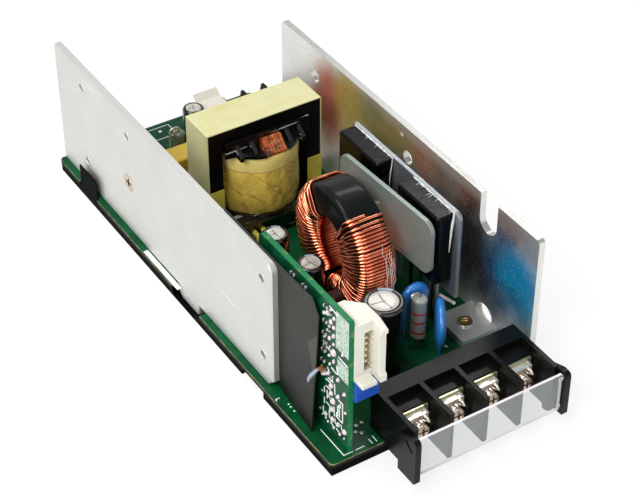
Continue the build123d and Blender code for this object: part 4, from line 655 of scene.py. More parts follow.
# lengths in millimetres, wire as its radius; starts and end in degrees from the top of the ring;
# firstTurns is how much wider than the rest the first three turns lie
choke = {"x": 39.2, "y": 54.1, "z": 20.5, "yaw": -4.0, "outer": 19.2, "bore": 9.8, "half": 5.6,
         "corner": 1.4, "roundCorner": 2.9, "ease": 9.0, "wire": 0.46, "gap": 0.04, "turns": 46,
         "firstTurns": 0.35, "frontStart": 31.0, "rearStart": 34.0, "end": 172.0,
         "wobble": 0.045, "loose": 0.1, "around": 40}


def ringLoop(grow, corner, samples):
    # a rounded rectangle round the ring's section, from the middle of its outer side; even steps along it
    half, low, high = choke["half"] + grow, choke["bore"] - grow, choke["outer"] + grow
    turn = np.pi / 2 + (np.arange(48) + 0.5) * fullTurn / 48
    across = np.sign(np.cos(turn)) * (half - corner) + corner * np.cos(turn)
    out = (low + high) / 2 + np.sign(np.sin(turn)) * ((high - low) / 2 - corner) + corner * np.sin(turn)
    loop = np.concatenate([[[0, high]], np.stack([across, out], 1), [[0, high]]])
    reach = np.r_[0, np.cumsum(np.linalg.norm(np.diff(loop, axis=0), axis=1))]
    steps = np.linspace(0, reach[-1], samples, endpoint=False)
    return np.stack([np.interp(steps, reach, loop[:, k]) for k in range(2)], 1)


def underWire(angle):
    # 0 where the ring is bare, rising to 1 under the windings, where its edges are rounder
    signed = np.degrees((angle + np.pi) % fullTurn - np.pi)
    start = np.where(signed > 0, choke["frontStart"], choke["rearStart"])
    past = np.clip((np.abs(signed) - start) / choke["ease"], 0, 1)
    left = np.clip((choke["end"] - np.abs(signed)) / choke["ease"], 0, 1)
    return past * left


def onRing(angle, across, out):
    # angle from the top towards the board's front; out from the ring's axis, across along it
    yaw = np.radians(choke["yaw"])
    y, z = -out * np.sin(angle), out * np.cos(angle)
    return np.stack([choke["x"] + across * np.cos(yaw) - y * np.sin(yaw),
                     choke["y"] + across * np.sin(yaw) + y * np.cos(yaw), choke["z"] + z], -1)


def windTurns(name, node, start, end, seed):
    # one long wire; every other turn lies in the groove between its neighbours, and rises
    # by the root of (wire thickness squared - turn spacing squared) where the turns crowd
    chance = np.random.default_rng(seed)
    turns, steps = choke["turns"], choke["around"]
    t = np.arange(turns * steps + 1) / steps
    wobble = chance.normal(0, choke["wobble"], turns + 2)
    along = np.clip(t + np.interp(t, np.arange(turns + 2), wobble), 0, turns)
    along = (along + choke["firstTurns"] * np.minimum(along, 3)) / (turns + 3 * choke["firstTurns"])
    angle = np.radians(start + (end - start) * along)
    grow = choke["wire"] + choke["gap"]
    sharp = ringLoop(grow, choke["corner"] + grow, steps)
    soft = ringLoop(grow, choke["roundCorner"] + grow, steps)
    at = np.arange(len(t)) % steps
    ease = underWire(angle)[:, None]
    loop = sharp[at] * (1 - ease) + soft[at] * ease
    step = np.roll(soft, -1, 0) - np.roll(soft, 1, 0)
    normal = unit(np.stack([step[:, 1], -step[:, 0]], 1))
    normal = normal * np.sign(np.sum(normal * (soft - soft.mean(0)), 1, keepdims=True))
    spacing = np.radians(abs(end - start)) * loop[:, 1] / turns
    rise = np.sqrt(np.maximum((2 * choke["wire"]) ** 2 - spacing ** 2, 0)) * (np.floor(t) % 2)
    loose = chance.normal(0, choke["loose"], turns * 3 + 4)
    loose = np.abs(np.interp(t * 3, np.arange(turns * 3 + 4), loose))
    loop = loop + normal[at] * (rise + loose)[:, None]
    path = onRing(angle, loop[:, 0], loop[:, 1])
    middle = onRing(angle, 0 * angle, 0 * angle + (choke["outer"] + choke["bore"]) / 2)
    side = unit(np.cross(np.gradient(path, axis=0), path - middle))
    wire = tube(path, choke["wire"], side, 8)
    addPiece(name, [wire], copperSkin, (node,), crease=80)


windTurns("frontWinding", "choke_winding_front", choke["frontStart"], choke["end"], 3)
windTurns("rearWinding", "choke_winding_rear", -choke["rearStart"], -choke["end"], 5)


def chokeRing():
    # the section's loop carried once round the ring
    rows, cols = 160, 48
    angle = np.linspace(0, fullTurn, rows, endpoint=False)
    sharp, soft = ringLoop(0.0, choke["corner"], cols), ringLoop(0.0, choke["roundCorner"], cols)
    ease = underWire(angle)[:, None, None]
    loop = sharp[None] * (1 - ease) + soft[None] * ease
    points = onRing(angle[:, None] + 0 * loop[:, :, 0], loop[:, :, 0], loop[:, :, 1]).reshape(-1, 3)
    part = (points, gridFaces(rows, cols, True, True), np.zeros_like(points))
    addPiece("chokeRing", [part], ringSkin, ("choke_core",), crease=60)


chokeRing()
print("choke wound")


# Cans, discs and other small parts

# each can: the place of its middle, its radius and height, and how far it is turned
cans = {"output_capacitor_rear": (23.9, 66.9, 4.0, 22.0, 205),
        "output_capacitor_middle": (25.5, 50.7, 4.0, 22.0, 215),
        "output_capacitor_front": (32.8, 25.4, 6.0, 23.0, 200),
        "input_capacitor": (39.0, 141.6, 3.4, 16.0, 190)}
# lip is a share of the can's radius; the stripe's place and half width are in radians round it
canLook = {"sleeve": (8, 9, 10), "sleeveCloud": (18, 19, 20), "block": (150, 166, 186),
           "top": (204, 201, 194), "topCloud": (182, 178, 170), "score": (70, 64, 58),
           "lip": 0.7, "stripeAt": -2.6, "stripeHalf": 0.42, "stripeFrom": 3.0, "blocksPerMm": 0.45}


def canFinish(look):
    # black sleeve with pale blocks down one side; bare metal with three scores inside the rim
    f = Finish("can_sleeve", Coat_Weight=0.4, Coat_Roughness=0.1)
    x, y, z = f.axes("own")
    radius = (x * x + y * y).root()
    top = (1 - radius.over(look["lip"], 0.008)) * z.over(12, 0.1)
    stripe = 1 - abs(y.angle(x) - look["stripeAt"]).over(look["stripeHalf"], 0.02)
    stripe = stripe * z.over(look["stripeFrom"], 0.1)
    blocks = (z * look["blocksPerMm"]).fraction().over(0.3, 0.06) * stripe
    rays = (1 - abs(x * 0.5 + y * 0.87).over(0.026, 0.014)) * x.over(-0.1, 0.02)
    rays = rays.highest((1 - abs(x - 0.24 * y).over(0.026, 0.014)) * y.over(-0.08, 0.02))
    rays = rays.highest((1 - abs(x * 0.86 - y * 0.5).over(0.026, 0.014)) * (1 - y.over(0.08, 0.02)))
    score = rays * (1 - radius.over(0.6, 0.03)) * top
    cloud = f.noise(1.5, 3.0)
    black = f.mix(cloud * 0.4, linear(look["sleeve"]), linear(look["sleeveCloud"]))
    sleeve = f.mix(blocks * 0.85, black, linear(look["block"]))
    metal = f.mix(cloud * 0.5, linear(look["top"]), linear(look["topCloud"]))
    metal = f.mix(score * 0.85, metal, linear(look["score"]))
    f.set(Base_Color=f.mix(top, sleeve, metal), Metallic=top * 0.55, Roughness=0.26 + top * 0.14)
    f.bump((1 - score) + f.noise(0.4) * 0.08, 0.12)
    return f.material


canSkin = canFinish(canLook)


def can(name):
    # a profile with a pinched foot, a round shoulder and a sunk top, carried round its middle
    x, y, r, h, yaw = cans[name]
    rim = np.linspace(0, np.pi / 2, 8)
    shoulder = np.stack([r - 0.9 + 0.9 * np.cos(rim), h - 0.9 + 0.9 * np.sin(rim)], 1)
    foot = [(0, 0), (r - 0.5, 0), (r - 0.1, 0.25), (r, 0.6), (r, 1.4),
            (r - 0.25, 1.7), (r - 0.38, 2.0), (r - 0.25, 2.3), (r, 2.6)]
    lip = r * canLook["lip"]
    top = [(lip + 0.12, h - 0.08), (lip, h - 0.12), (lip - 0.05, h - 0.26), (lip - 0.2, h - 0.3),
           (r * 0.4, h - 0.26), (0, h - 0.24)]
    part = lathe(foot + shoulder.tolist() + top, 56)
    addPiece(name + "_can", [moved(part, (x, y, 0), yaw)], canSkin, (name,))


for each in cans:
    can(each)


# each disc: its place, radius, thickness, height above the board, turn and colour
discs = {"disc_capacitor_left": (48.4, 32.6, 4.6, 3.0, 7.6, 0, (22, 100, 176)),
         "disc_capacitor_right": (49.8, 22.2, 7.3, 3.0, 2.0, 57.5, (24, 108, 186)),
         "rear_disc_capacitor": (22.6, 135.6, 3.4, 2.6, 2.0, 20, (176, 186, 170))}


def disc(name):
    # a lens whose edge is a superellipse, standing on two legs that wear drips of its own coating
    x, y, r, t, stand, yaw, colour = discs[name]
    worn = tuple(min(255, c + 40) for c in colour)
    skin = plasticFinish(name + "_coat", colour, 0.3, worn, grain=0.9, coat=0.6, depth=0.04)
    bend = np.linspace(-np.pi / 2, np.pi / 2, 22)
    reach = r * np.abs(np.cos(bend)) ** 0.55
    height = t / 2 * np.sign(np.sin(bend)) * np.abs(np.sin(bend)) ** 0.8
    profile = np.stack([reach, height], 1)
    profile[[0, -1], 0] = 0
    lens = moved(lathe(profile, 48), axis="y")
    parts = [(lens[0] + [0, 0, stand + r], lens[1], lens[2])]
    spread = 0.5 * min(5.0, r)
    for side in (-spread, spread):
        leg = [(side, 0, 0), (side, 0, stand * 0.5), (side, 0, stand + r * 0.7)]
        line = softPath(leg, 16, 1)
        levels = [0, stand * 0.55, stand * 0.8, stand + r * 0.5]
        thick = np.interp(line[:, 2], levels, [0.38, 0.38, 0.62, 1.15])
        parts.append(tube(line, thick, (0, 1, 0), 10))
    placed = [moved(part, (x, y, 0), yaw) for part in parts]
    addPiece(name + "_dipped", placed, skin, (name,), crease=60)


for each in discs:
    disc(each)


def resistorFinish(name, body, bands, high):
    # lacquered body with rings of colour at set heights
    f = Finish(name, Coat_Weight=0.5, Coat_Roughness=0.12)
    z = f.axes("own")[2]
    colour = f.mix(f.noise(1.2, 3.0) * 0.5, linear(body), linear(tuple(c * 0.8 for c in body)))
    for height, width, tint in bands:
        colour = f.mix(1 - abs(z - height * high).over(width, 0.06), colour, linear(tint))
    f.set(Base_Color=colour, Roughness=0.35)
    f.bump(f.noise(0.7), 0.03)
    return f.material


# each resistor: its place, radius, length, colour, and its bands (share of the length, half width, colour)
redBands = [(0.19, 0.34, (176, 34, 26)), (0.43, 0.34, (184, 34, 26)), (0.645, 0.34, (190, 36, 28))]
darkBands = [(0.5, 0.4, (20, 20, 20)), (0.2, 0.3, (150, 60, 40))]
resistors = {"front_resistor": (45.9, 26.8, 2.3, 15.0, (150, 157, 154), redBands),
             "rear_resistor": (28.6, 132.0, 2.0, 14.0, (92, 104, 92), darkBands)}
resistorFoot = 2.6


def resistor(name):
    # a round body that swells a little at its domed ends
    x, y, r, length, colour, bands = resistors[name]
    z = np.linspace(0, 1, 40)
    swell = 0.9 + 0.1 * np.clip(np.abs(z - 0.5) * 5 - 1.4, 0, 1)
    dome = np.clip(1 - np.abs(z - 0.5) * 2, 0, 1) / 0.16
    radius = r * swell * np.sqrt(np.clip(1 - (1 - np.clip(dome, 0, 1)) ** 2, 0, 1))
    skin = resistorFinish(name + "_lacquer", colour, bands, length)
    part = lathe(np.stack([radius, z * length], 1), 32)
    part = (part[0], part[1], part[0].copy())
    addPiece(name + "_body", [moved(part, (x, y, resistorFoot))], skin, (name,), crease=60)


for each in resistors:
    resistor(each)
print("cans, discs and resistors made")


# The taped coil of the transformer

# sink is how far the tape reaches down past the coil's own foot; the rest are heights of its waves
coil = {"sides": 128, "rows": 40, "sink": 0.8, "inset": 0.3, "belly": 0.14, "ends": 0.6, "tight": 0.22,
        "wave": 0.1, "fold": 0.16, "fineFold": 0.1}


def tapedCoil():
    # radius = the wound radius, plus a slow swell with height and shallow waves round it;
    # down is 0 above the tape's last band and 1 below it, where the tape is tight and folded
    low, high = (np.array(corner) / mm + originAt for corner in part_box("transformer_coil"))
    centre = (low + high) / 2
    sides, rows = coil["sides"], coil["rows"]
    turn = np.arange(sides) * fullTurn / sides
    z = np.linspace(0, 1, rows)[:, None]
    down = np.clip((0.84 - z) / 0.2, 0, 1)
    folds = coil["fold"] * np.sin(11 * turn + 6 * z) + coil["fineFold"] * np.sin(23 * turn + 9 * z + 2)
    waves = coil["wave"] * np.sin(7 * turn + 1.0) * np.sin(np.pi * z) + down * folds
    ends = coil["ends"] * (np.abs(z - 0.5) * 2) ** 12
    swell = coil["belly"] * np.sin(np.pi * z) - coil["inset"] - ends - coil["tight"] * down
    radius = (high[0] - low[0]) / 2 + swell + waves
    height = z * (high[2] - low[2] + coil["sink"]) - coil["sink"] + 0 * turn
    points = np.stack([radius * np.cos(turn), radius * np.sin(turn), height], 2)
    points = np.concatenate([points[:1] * [0, 0, 1], points, points[-1:] * [0, 0, 1]]).reshape(-1, 3)
    part = (points + [centre[0], centre[1], low[2]], gridFaces(rows + 2, sides, False, True), points)
    addPiece("tapedCoil", [part], coilTapeSkin, ("transformer_coil",), crease=50)


tapedCoil()


# The control card's small parts and the printing on both boards

# places are along the card and up it: a joint has its radius, a stroke its two ends
card = {"face": 5.9, "stroke": 0.4,
        "solder": [(6.2, 22.5, 0.7), (3.2, 19.8, 0.75), (6.1, 16.7, 0.8), (9.4, 18.0, 0.8),
                   (9.4, 15.3, 0.8), (8.5, 13.2, 0.9), (9.1, 9.9, 0.8), (5.75, 13.3, 0.6),
                   (11.8, 6.0, 0.6), (8.65, 6.5, 0.7), (5.9, 6.8, 0.75), (2.9, 6.6, 0.8),
                   (5.1, 4.0, 0.5), (3.0, 4.2, 0.4), (8.0, 4.0, 0.5), (10.9, 3.9, 0.4),
                   (11.8, 4.6, 0.4), (2.7, 13.6, 0.5), (13.85, 12.9, 0.3), (14.6, 5.9, 0.4),
                   (8.3, 27.3, 0.6), (10.3, 24.9, 0.4), (11.2, 21.0, 0.7), (11.1, 41.7, 0.7),
                   (12.1, 41.0, 0.6), (13.1, 40.3, 0.5), (8.3, 41.8, 0.6), (9.8, 39.6, 0.6),
                   (8.4, 38.7, 0.65), (11.3, 35.9, 0.5), (8.5, 35.8, 0.65), (10.4, 33.7, 0.6),
                   (5.8, 35.3, 0.5), (8.5, 33.0, 0.5), (8.4, 30.2, 0.95), (4.3, 32.5, 0.5),
                   (10.5, 27.8, 0.5), (10.1, 25.2, 0.5)],
        "chips": [(12.5, 33.9), (12.5, 32.1), (11.9, 30.1), (12.8, 28.0), (13.2, 24.2), (12.0, 43.2),
                  (9.6, 43.1), (27.8, 42.8), (22.2, 42.6), (10.2, 37.2), (12.2, 38.2), (10.6, 31.2),
                  (9.2, 21.8), (13.0, 21.6)],
        "strokes": [(12.1, 18.4, 9.7, 18.8), (12.0, 16.1, 9.7, 16.1), (11.7, 13.7, 9.9, 13.0),
                    (11.7, 10.4, 9.6, 10.1), (12.7, 15.2, 12.7, 13.1), (12.7, 11.4, 12.6, 9.2),
                    (13.2, 7.8, 13.1, 5.8), (10.3, 8.4, 10.1, 5.8), (7.9, 19.8, 7.6, 16.2),
                    (9.5, 24.4, 6.9, 24.0), (11.3, 23.2, 9.7, 20.5), (7.0, 26.8, 6.4, 24.2),
                    (6.0, 15.7, 4.0, 15.7), (4.0, 15.7, 3.9, 9.1), (7.2, 9.1, 4.1, 8.9),
                    (5.5, 12.7, 5.4, 9.8), (7.5, 7.7, 7.2, 6.0), (6.7, 10.7, 6.7, 9.3),
                    (13.8, 4.1, 12.2, 6.4), (9.7, 4.7, 7.7, 4.2), (6.9, 4.6, 5.3, 4.4),
                    (4.6, 7.9, 4.3, 6.2), (10.5, 44.4, 6.8, 43.8), (12.6, 30.4, 9.9, 29.6),
                    (6.2, 30.5, 1.8, 30.2), (6.2, 12.2, 6.2, 9.6), (11.0, 19.6, 8.9, 19.9),
                    (11.4, 14.9, 11.3, 11.9), (8.0, 11.6, 7.8, 8.4), (5.2, 15.0, 5.0, 13.4),
                    (9.2, 21.4, 8.6, 19.6)]}


def onCard(part, y, z, turn=0.0):
    # a part made on the flat, stood off the card's left face
    flat = moved(part, yaw=turn)[0]
    return np.stack([card["face"] + 0.02 - flat[:, 2], y + flat[:, 0], z + flat[:, 1]], 1), part[1], part[2]


def cardClutter():
    # solder joints as uneven domes, small chips with bright ends, and printed strokes
    chance = np.random.default_rng(11)
    solder, dark, strokes = [], [], []
    domeProfile = np.array([(0, 0), (1.0, 0), (0.9, 0.4), (0.66, 0.66), (0.34, 0.9), (0, 1.0)])
    for y, z, r in card["solder"]:
        dome = lathe(domeProfile * r, 12)
        dome = (dome[0] * [chance.uniform(0.75, 1.25), chance.uniform(0.85, 1.4), 1], dome[1], dome[2])
        solder.append(onCard(dome, y, z, chance.uniform(-40, 40)))
    for y, z in card["chips"]:
        turn = 90.0 * chance.integers(0, 2)
        dark.append(onCard(slab(1.1, 0.8, 0.5, 0.08, 0.05, 2), y, z, turn))
        for side in (-0.72, 0.72):
            end = slab(0.34, 0.84, 0.54, 0.08, 0.06, 2)
            solder.append(onCard((end[0] + [side, 0, 0], end[1], end[2]), y, z, turn))
    for y0, z0, y1, z1 in card["strokes"]:
        turn = np.degrees(np.arctan2(z1 - z0, y1 - y0))
        bar = slab(np.hypot(y1 - y0, z1 - z0), card["stroke"], 0.12, 0.08, 0.02, 2)
        strokes.append(onCard(bar, (y0 + y1) / 2, (z0 + z1) / 2, turn))
    addPiece("cardChips", dark, chipSkin, ("control_chips",))
    addPiece("cardSolder", solder, solderSkin)
    addPiece("cardStrokes", strokes, printSkin)


def printFinish(name, colour):
    # matt ink, darker where it is worn
    f = Finish(name)
    worn = f.noise(0.6, 3.0).over(0.62, 0.1) * 0.4
    tone = f.mix(worn, linear(colour), linear(tuple(c * 0.75 for c in colour)))
    f.set(Base_Color=tone, Roughness=0.6)
    f.bump(f.noise(0.4), 0.01)
    return f.material


printSkin = printFinish("white_print", (236, 238, 234))
cardClutter()


def strip(a, b, width):
    # a thin bar from a to b on the board's top
    a, b = np.asarray(a, float), np.asarray(b, float)
    length = np.linalg.norm(b - a)
    yaw = np.degrees(np.arctan2(b[1] - a[1], b[0] - a[0]))
    return moved(slab(length, width, 0.05, 0.05, 0.01, 2), (*((a + b) / 2), 0), yaw)


# lines and boxes are printed outlines, squares are dots, pads are bare round joints
board = {"line": 0.28, "lines": [((4.7, 12.8), (4.7, 1.3)), ((4.7, 1.3), (7.5, 1.3)),
                                 ((8.3, 1.3), (11.2, 1.4)), ((13.5, 2.9), (13.5, 0.9)),
                                 ((15.0, 3.5), (14.9, 0.9)), ((0.5, 28.8), (1.8, 28.8)),
                                 ((0.5, 28.8), (0.5, 28.1))],
         "bar": ((0.95, 83.2), (0.95, 104.0)), "barWidth": 1.5,
         "squares": [(2.6, 25.4), (2.5, 24.2), (2.5, 22.3)],
         "boxLine": 0.25, "boxes": [(10, 150, 7, 5), (12, 142, 6, 8), (20, 150, 9, 4), (30, 152, 8, 6)],
         "pads": [(15.5, 9.2), (13.6, 9.0), (13.3, 5.9), (12.1, 7.0), (8, 154), (14, 156), (18, 146),
                  (26, 156), (34, 156), (52, 22), (62, 24), (56, 12), (12, 146)]}


def boardPrint():
    # outlines and marks printed on the board, and the bare pads
    parts = [strip(a, b, board["line"]) for a, b in board["lines"]]
    parts.append(strip(*board["bar"], board["barWidth"]))
    for x, y in board["squares"]:
        parts.append(moved(slab(0.5, 0.5, 0.05, 0.2, 0.01), (x, y, 0)))
    for x, y, width, depth in board["boxes"]:
        corners = [(x, y), (x + width, y), (x + width, y + depth), (x, y + depth), (x, y)]
        parts += [strip(a, b, board["boxLine"]) for a, b in zip(corners, corners[1:])]
    addPiece("boardPrint", parts, printSkin)
    drop = lathe([(0, 0), (0.66, 0), (0.62, 0.04), (0.35, 0.11), (0, 0.12)], 20)
    pads = [moved(drop, (x, y, 0)) for x, y in board["pads"]]
    addPiece("boardPads", pads, tinSkin)


boardPrint()


taps = {"face": 2.0, "radius": 1.42, "rim": 0.13,
        "places": [(37.4, 9.1), (142.4, 9.1), (37.4, 36.1), (142.4, 36.1), (113.4, 35.6)]}


def tapRims():
    # the low raised ring that the tap leaves round each hole of the left plate
    parts = []
    turn = np.linspace(0, fullTurn, 40, endpoint=False)
    along, up = taps["radius"] * np.cos(turn), taps["radius"] * np.sin(turn)
    for y, z in taps["places"]:
        path = np.stack([taps["face"] + 0 * turn, y + along, z + up], 1)
        parts.append(tube(path, taps["rim"], (1, 0, 0), 8, True))
    addPiece("tapRims", parts, leftSkin)


tapRims()


# Heat paste squeezed out between the sleeves and the heat sink

# sink is the plate's face, fronts where the two sleeves begin, depth how far back they reach
paste = {"sink": 57.9, "top": 39.85, "low": 27.0, "fronts": (28.9, 58.5), "depth": 19.8,
         "radius": 0.2, "teeth": (15, 3), "drop": (1.0, 0.45)}


def squeezedPaste():
    # a lumpy bead along the top edge and down the front edge of each sleeve, and short smears
    # across the sleeve's top; most of them on the front one
    chance = np.random.default_rng(21)
    parts = []
    x, z = paste["sink"], paste["top"]
    for front, teeth, drop in zip(paste["fronts"], paste["teeth"], paste["drop"]):
        bead = softPath([(x, front + paste["depth"] - 0.3, z), (x, front + 0.3, z)], 70, 1)
        lumps = np.abs(np.convolve(chance.normal(0, 1, 74), np.ones(5) / 5, "valid"))
        parts.append(tube(bead, paste["radius"] * (0.6 + lumps * 1.3), (0, 0, 1), 8))
        corners = [(x - 0.2, front + 0.1, z), (x - 0.9, front - 0.02, z - 5),
                   (x - 1.3, front - 0.02, paste["low"])]
        thick = np.interp(np.arange(50), [0, 10, 30, 49], [0.3, 0.46, 0.3, 0.1])
        thick = thick * (1 + chance.normal(0, 0.08, 50)) * drop
        parts.append(tube(softPath(corners, 50, 2), thick, (1, 0, 0), 8))
        for tooth in range(teeth):
            y = front + 1.2 + (tooth + chance.uniform(-0.2, 0.2)) * 16.5 / teeth
            long = chance.uniform(0.5, 1.3) * (1.9 if chance.random() < 0.3 else 1.0)
            smear = softPath([(x, y, z), (x - long, y - chance.uniform(0.1, 0.6), z + 0.04)], 10, 1)
            parts.append(tube(smear, np.linspace(0.13, 0.04, 10), (0, 0, 1), 6))
    addPiece("squeezedPaste", parts, pasteSkin, crease=70)


squeezedPaste()


# Bright bits of the terminal, its cover, the header and the choke

saddles = {"first": 22.72, "pitch": 11.25, "count": 4, "half": 3.1, "horn": 2.1, "thick": 0.42}


def terminalBits():
    # a solid top on each saddle, and two horns that curl down in front of it
    parts = []
    for k in range(saddles["count"]):
        x = saddles["first"] + saddles["pitch"] * k
        low, high = (x - saddles["half"], -6.15, 9.5), (x + saddles["half"], -4.15, 10.88)
        parts.append(block(low, high, 0.25, 0.2))
        for side in (-saddles["horn"], saddles["horn"]):
            horn = [(x + side, -6.0, 10.4), (x + side * 1.1, -7.0, 9.9), (x + side * 1.2, -7.6, 8.9)]
            parts.append(tube(softPath(horn, 12, 2), saddles["thick"], (1, 0, 0), 8))
    addPiece("saddleTops", parts, saddleSkin)


pins = {"x": 61.9, "y": -15.7, "heights": (12.0, 2.3), "radius": 0.62, "rim": 0.12}


def coverPins():
    # the pale rims of two pins at the cover's right end, painted light on the clear pins' edges
    turn = np.linspace(0, fullTurn, 24, endpoint=False)
    along, up = pins["radius"] * np.cos(turn), pins["radius"] * np.sin(turn)
    parts = []
    for z in pins["heights"]:
        path = np.stack([pins["x"] + along, pins["y"] + 0 * turn, z + up], 1)
        parts.append(tube(path, pins["rim"], (0, 1, 0), 8, True))
    addPiece("coverPins", parts, litRimSkin, (), "cover")


ribs = {"x": 12.86, "front": 1.1, "rear": 4.6, "low": 28.3, "high": 40.0, "pitch": 2.0, "thick": 0.42}


def headerRibs():
    # slanted ribs on the recess's far wall, in a beige that paints the recess's shade
    parts = []
    for z in np.arange(ribs["low"], ribs["high"], ribs["pitch"]):
        path = softPath([(ribs["x"], ribs["front"], z - 0.9), (ribs["x"], ribs["rear"], z + 0.7)], 8, 1)
        parts.append(tube(path, ribs["thick"], (1, 0, 0), 8))
    addPiece("headerRibs", parts, shadedRibSkin)


# start and reach in degrees round the ring, first and step across it, out from its axis
glue = {"threads": 7, "start": 62, "reach": 52, "first": 1.4, "step": 0.46, "out": 20.75, "thick": 0.13}


def glueThreads():
    # hardened drips on the front winding's lower right
    chance = np.random.default_rng(31)
    parts = []
    t = np.linspace(0, 1, 26)
    for k in range(glue["threads"]):
        reach = glue["reach"] * chance.uniform(0.6, 1.0)
        angle = np.radians(glue["start"] + reach * t + chance.uniform(-6, 10))
        across = np.interp(t * 7, np.arange(8), chance.normal(0, 0.5, 8))
        across = across + glue["first"] + glue["step"] * k
        out = glue["out"] + 0.15 * np.sin(t * 9 + k) - 0.05 * np.maximum(across - 3.2, 0) ** 2
        path = onRing(angle, across, out)
        thick = np.interp(t, [0, 0.5, 1], [0.05, glue["thick"], 0.05])
        parts.append(tube(path, thick, onRing(angle, across, 0 * angle) - path, 6))
    addPiece("glueThreads", parts, glueSkin, crease=70)


# corners of the paths; the lead leaves the card at the cone, and the foot belongs to a device
lead = {"cone": (5.9, 12.4, 20.4),
        "bead": [(5.4, 12.3, 21.3), (4.5, 12.3, 22.5), (3.3, 12.3, 22.7)],
        "end": [(4.0, 12.3, 22.8), (1.7, 12.3, 21.7), (0.75, 12.3, 20.8), (0.55, 12.3, 19.6)],
        "foot": [(57.6, 33.0, 8.2), (57.6, 29.0, 9.2), (57.4, 26.2, 10.2)]}


def senseLead():
    # a solder cone on the card, a brown bead, the lead's tapered end, and a device's bent foot
    x, y, z = lead["cone"]
    cone, faces, own = lathe([(0, 0), (0.95, 0), (0.7, 0.5), (0.4, 1.1), (0, 1.3)], 14)
    cone = np.stack([x - cone[:, 2], y + cone[:, 0], z + cone[:, 1]], 1)
    thick = np.interp(np.arange(14), [0, 5, 13], [0.45, 0.78, 0.42])
    bead = tube(softPath(lead["bead"], 14, 2), thick, (0, 1, 0), 12)
    thick = np.interp(np.arange(26), [0, 12, 20, 25], [0.36, 0.62, 0.4, 0.16])
    flat = tube(softPath(lead["end"], 26, 2), thick, (0, 1, 0), 12)
    foot = tube(softPath(lead["foot"], 14, 2), 0.5, (1, 0, 0), 8)
    addPiece("deviceLeadEnd", [foot], solderSkin)
    addPiece("leadCone", [(cone, faces, own)], solderSkin)
    addPiece("leadBead", [bead], beadSkin)
    addPiece("leadEnd", [flat], leadSkin, ("sense_lead",))


terminalBits()
coverPins()
headerRibs()
glueThreads()
senseLead()


# Softened copies of the moulded and folded nodes, and finishes for the rest

# each node: its finish, its slot and how far its edges are rounded
softNodes = {"terminal_housing": (blackSkin, "terminal_black", 0.22),
             "terminal_cover": (coverSkin, "cover_clear", 0.2),
             "header_housing": (ivorySkin, "header_ivory", 0.14),
             "trimmer_body": (blueSkin, "trimmer_blue", 0.12),
             "transformer_core_upper": (ferriteSkin, "ferrite", 0.25),
             "transformer_core_lower": (ferriteSkin, "ferrite", 0.25),
             "transformer_bobbin": (bobbinSkin, "bobbin_black", 0.16),
             "core_tape": (coreTapeSkin, "tape_yellow", 0.22),
             "leg_tapes": (legTapeSkin, "coil_tape", 0.15),
             "heat_sink_plate": (sinkSkin, "sink_aluminium", 0.2),
             "clamp_plate": (clampSkin, "clamp_aluminium", 0.2),
             "device_sleeve_front": (capSkin, "sleeve_black", 0.3),
             "device_sleeve_rear": (capSkin, "sleeve_black", 0.3),
             "terminal_saddles": (saddleSkin, "nickel", 0.12),
             "terminal_straps": (strapSkin, "nickel", 0.12),
             "input_housing": (blackSkin, "terminal_black", 0.15),
             "input_guard": (paleSkin, "guard_pale", 0.12),
             "film_capacitor": (boxSkin, "box_yellow", 0.4),
             "insulating_film": (filmSkin, "film_grey", 0.08)}
for each, (skin, slot, width) in softNodes.items():
    softened(each, skin, width, "cover" if each == "terminal_cover" else "supply")

# the nodes that keep their own mesh
giveFinish(boardSkin, "main_board")
giveFinish(cardSkin, "control_board")
giveFinish(leftSkin, "left_heat_plate")
giveFinish(rightSkin, "right_side_plate")
giveFinish(sheetSkin, "insulating_sheet")
giveFinish(screwSkin, "countersunk_screw", "terminal_screws", "clamp_screw", "input_screws")
giveFinish(nickelSkin, "device_nut", "input_straps", "tab_inserts")
giveFinish(brassSkin, "trimmer_rotor", "tab_screws")
giveFinish(tinSkin, "front_resistor_leads", "rear_resistor_leads")
giveFinish(litPinSkin, "header_pins")
giveFinish(padSkin, "insulating_pad")
giveFinish(sleeveSkin, "primary_transistor", "power_device_front", "power_device_rear")
giveFinish(maroonSkin, "choke_lead_sleeve")
giveFinish(copperSkin, "filter_choke")
giveFinish(exitSkin, "winding_exit")
giveFinish(legTapeSkin, "coil_leads")
giveFinish(fuseSkin, "input_fuse")
print("nodes finished")


# Room, light and camera

# lengths in metres; light is the world's strength, ceiling how bright mirrors see it
room = {"light": 0.32, "ceiling": 0.35, "floorHalf": 3.0, "floorDrop": 0.0002}


def seenRays(tree):
    # camera rays, and the highest of camera, mirrored and let-through rays
    kinds = ("Is Camera Ray", "Is Glossy Ray", "Is Transmission Ray")
    rays = [addNode(tree, "ShaderNodeLightPath", out=kind) for kind in kinds]
    return rays[0], rays[0].highest(rays[1]).highest(rays[2])


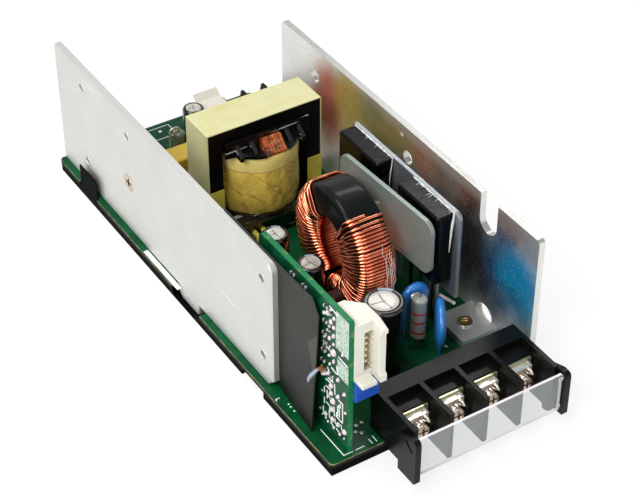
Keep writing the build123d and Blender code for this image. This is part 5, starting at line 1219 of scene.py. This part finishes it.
def stageFloor():
    # a wide sheet; the camera and mirrors see it nearly white, and it keeps the shadow
    f = Finish("floor_paper", Roughness=0.9)
    tone = f.mix(f.noise(300, 2.0) * 0.3, linear((246, 246, 245)), linear((240, 240, 239)))
    f.set(Base_Color=tone)
    glow = f.node("ShaderNodeEmission", None, {"Color": (1, 1, 1, 1), "Strength": 1.0}, "Emission")
    base = Sock(f.shader.outputs["BSDF"])
    share = seenRays(f.tree)[1] * 0.8
    both = f.node("ShaderNodeMixShader", None, {0: share, 1: base, 2: glow}, "Shader")
    f.tree.links.new(both.socket, f.tree.nodes["Material Output"].inputs["Surface"])
    mesh = bpy.data.meshes.new("floorSheet")
    half, low = room["floorHalf"], -room["floorDrop"]
    corners = [(-half, -half, low), (half, -half, low), (half, half, low), (-half, half, low)]
    mesh.from_pydata(corners, [], [(0, 1, 2, 3)])
    mesh.materials.append(f.material)
    floor = bpy.data.objects.new("floorSheet", mesh)
    bpy.context.scene.collection.objects.link(floor)


def roomWorld():
    # the camera sees white; mirrors see white walls under a dimmer ceiling
    walls = bpy.data.worlds.new("room")
    walls.use_nodes = True
    tree = walls.node_tree
    direct, seen = seenRays(tree)
    ground = tree.nodes["Background"]
    ground.inputs["Color"].default_value = (1, 1, 1, 1)
    way = addNode(tree, "ShaderNodeTexCoord", out="Generated")
    height = addNode(tree, "ShaderNodeSeparateXYZ", None, {0: way}, 2)
    wall = 1 - height.over(0.3, 0.25)
    shown = direct.highest(wall + (1 - wall) * room["ceiling"])
    strength = room["light"] * (1 - seen) + seen * shown
    tree.links.new(strength.socket, ground.inputs["Strength"])
    bpy.context.scene.world = walls


# each lamp: its place, what it points at, its width and height, and its power
lamps = {"keyLamp": ((-0.85, -0.35, 0.95), (0, 0, 0.02), (0.7, 0.6), 13.0),
         "topLamp": ((-0.3, 0.3, 1.2), (0, 0, 0.02), (0.6, 0.5), 7.0),
         "glintLamp": ((0.709, 0.794, 1.027), (0.01, -0.06, 0.02), (0.36, 0.2), 2.0),
         "fillLamp": ((-0.1, -1.1, 0.6), (0, 0, 0.02), (0.8, 0.6), 3.0)}


def softLamp(name):
    # a flat panel of light, turned from its place towards what it points at
    at, aim, size, power = lamps[name]
    light = bpy.data.lights.new(name, "AREA")
    light.shape = "RECTANGLE"
    light.size, light.size_y = size
    light.energy = power
    lamp = bpy.data.objects.new(name, light)
    lamp.location = at
    lamp.rotation_euler = (Vector(aim) - Vector(at)).to_track_quat("-Z", "Y").to_euler()
    bpy.context.scene.collection.objects.link(lamp)


stageFloor()
roomWorld()
for each in lamps:
    softLamp(each)

# place in metres, angles in degrees, lens in millimetres
camera = {"at": (-0.21341, -0.34569, 0.34166), "azimuth": 32.49, "drop": 38.97, "roll": 0.14, "lens": 100.95}


def setCamera():
    # looks along the azimuth, counted from +y towards +x, and down by drop
    azimuth, drop = np.radians(camera["azimuth"]), np.radians(camera["drop"])
    flat = np.cos(drop)
    ahead = Vector((np.sin(azimuth) * flat, np.cos(azimuth) * flat, -np.sin(drop)))
    data = bpy.data.cameras.new("viewCamera")
    data.lens = camera["lens"]
    data.sensor_width = 36.0
    data.sensor_fit = "HORIZONTAL"
    data.clip_start, data.clip_end = 0.01, 20.0
    view = bpy.data.objects.new("viewCamera", data)
    turn = ahead.to_track_quat("-Z", "Y").to_matrix().to_4x4()
    roll = Matrix.Rotation(np.radians(camera["roll"]), 4, "Z")
    view.matrix_world = Matrix.Translation(camera["at"]) @ turn @ roll
    bpy.context.scene.collection.objects.link(view)
    bpy.context.scene.camera = view
    bpy.context.scene.view_settings.view_transform = "Standard"


setCamera()
print("room, lamps and camera set")
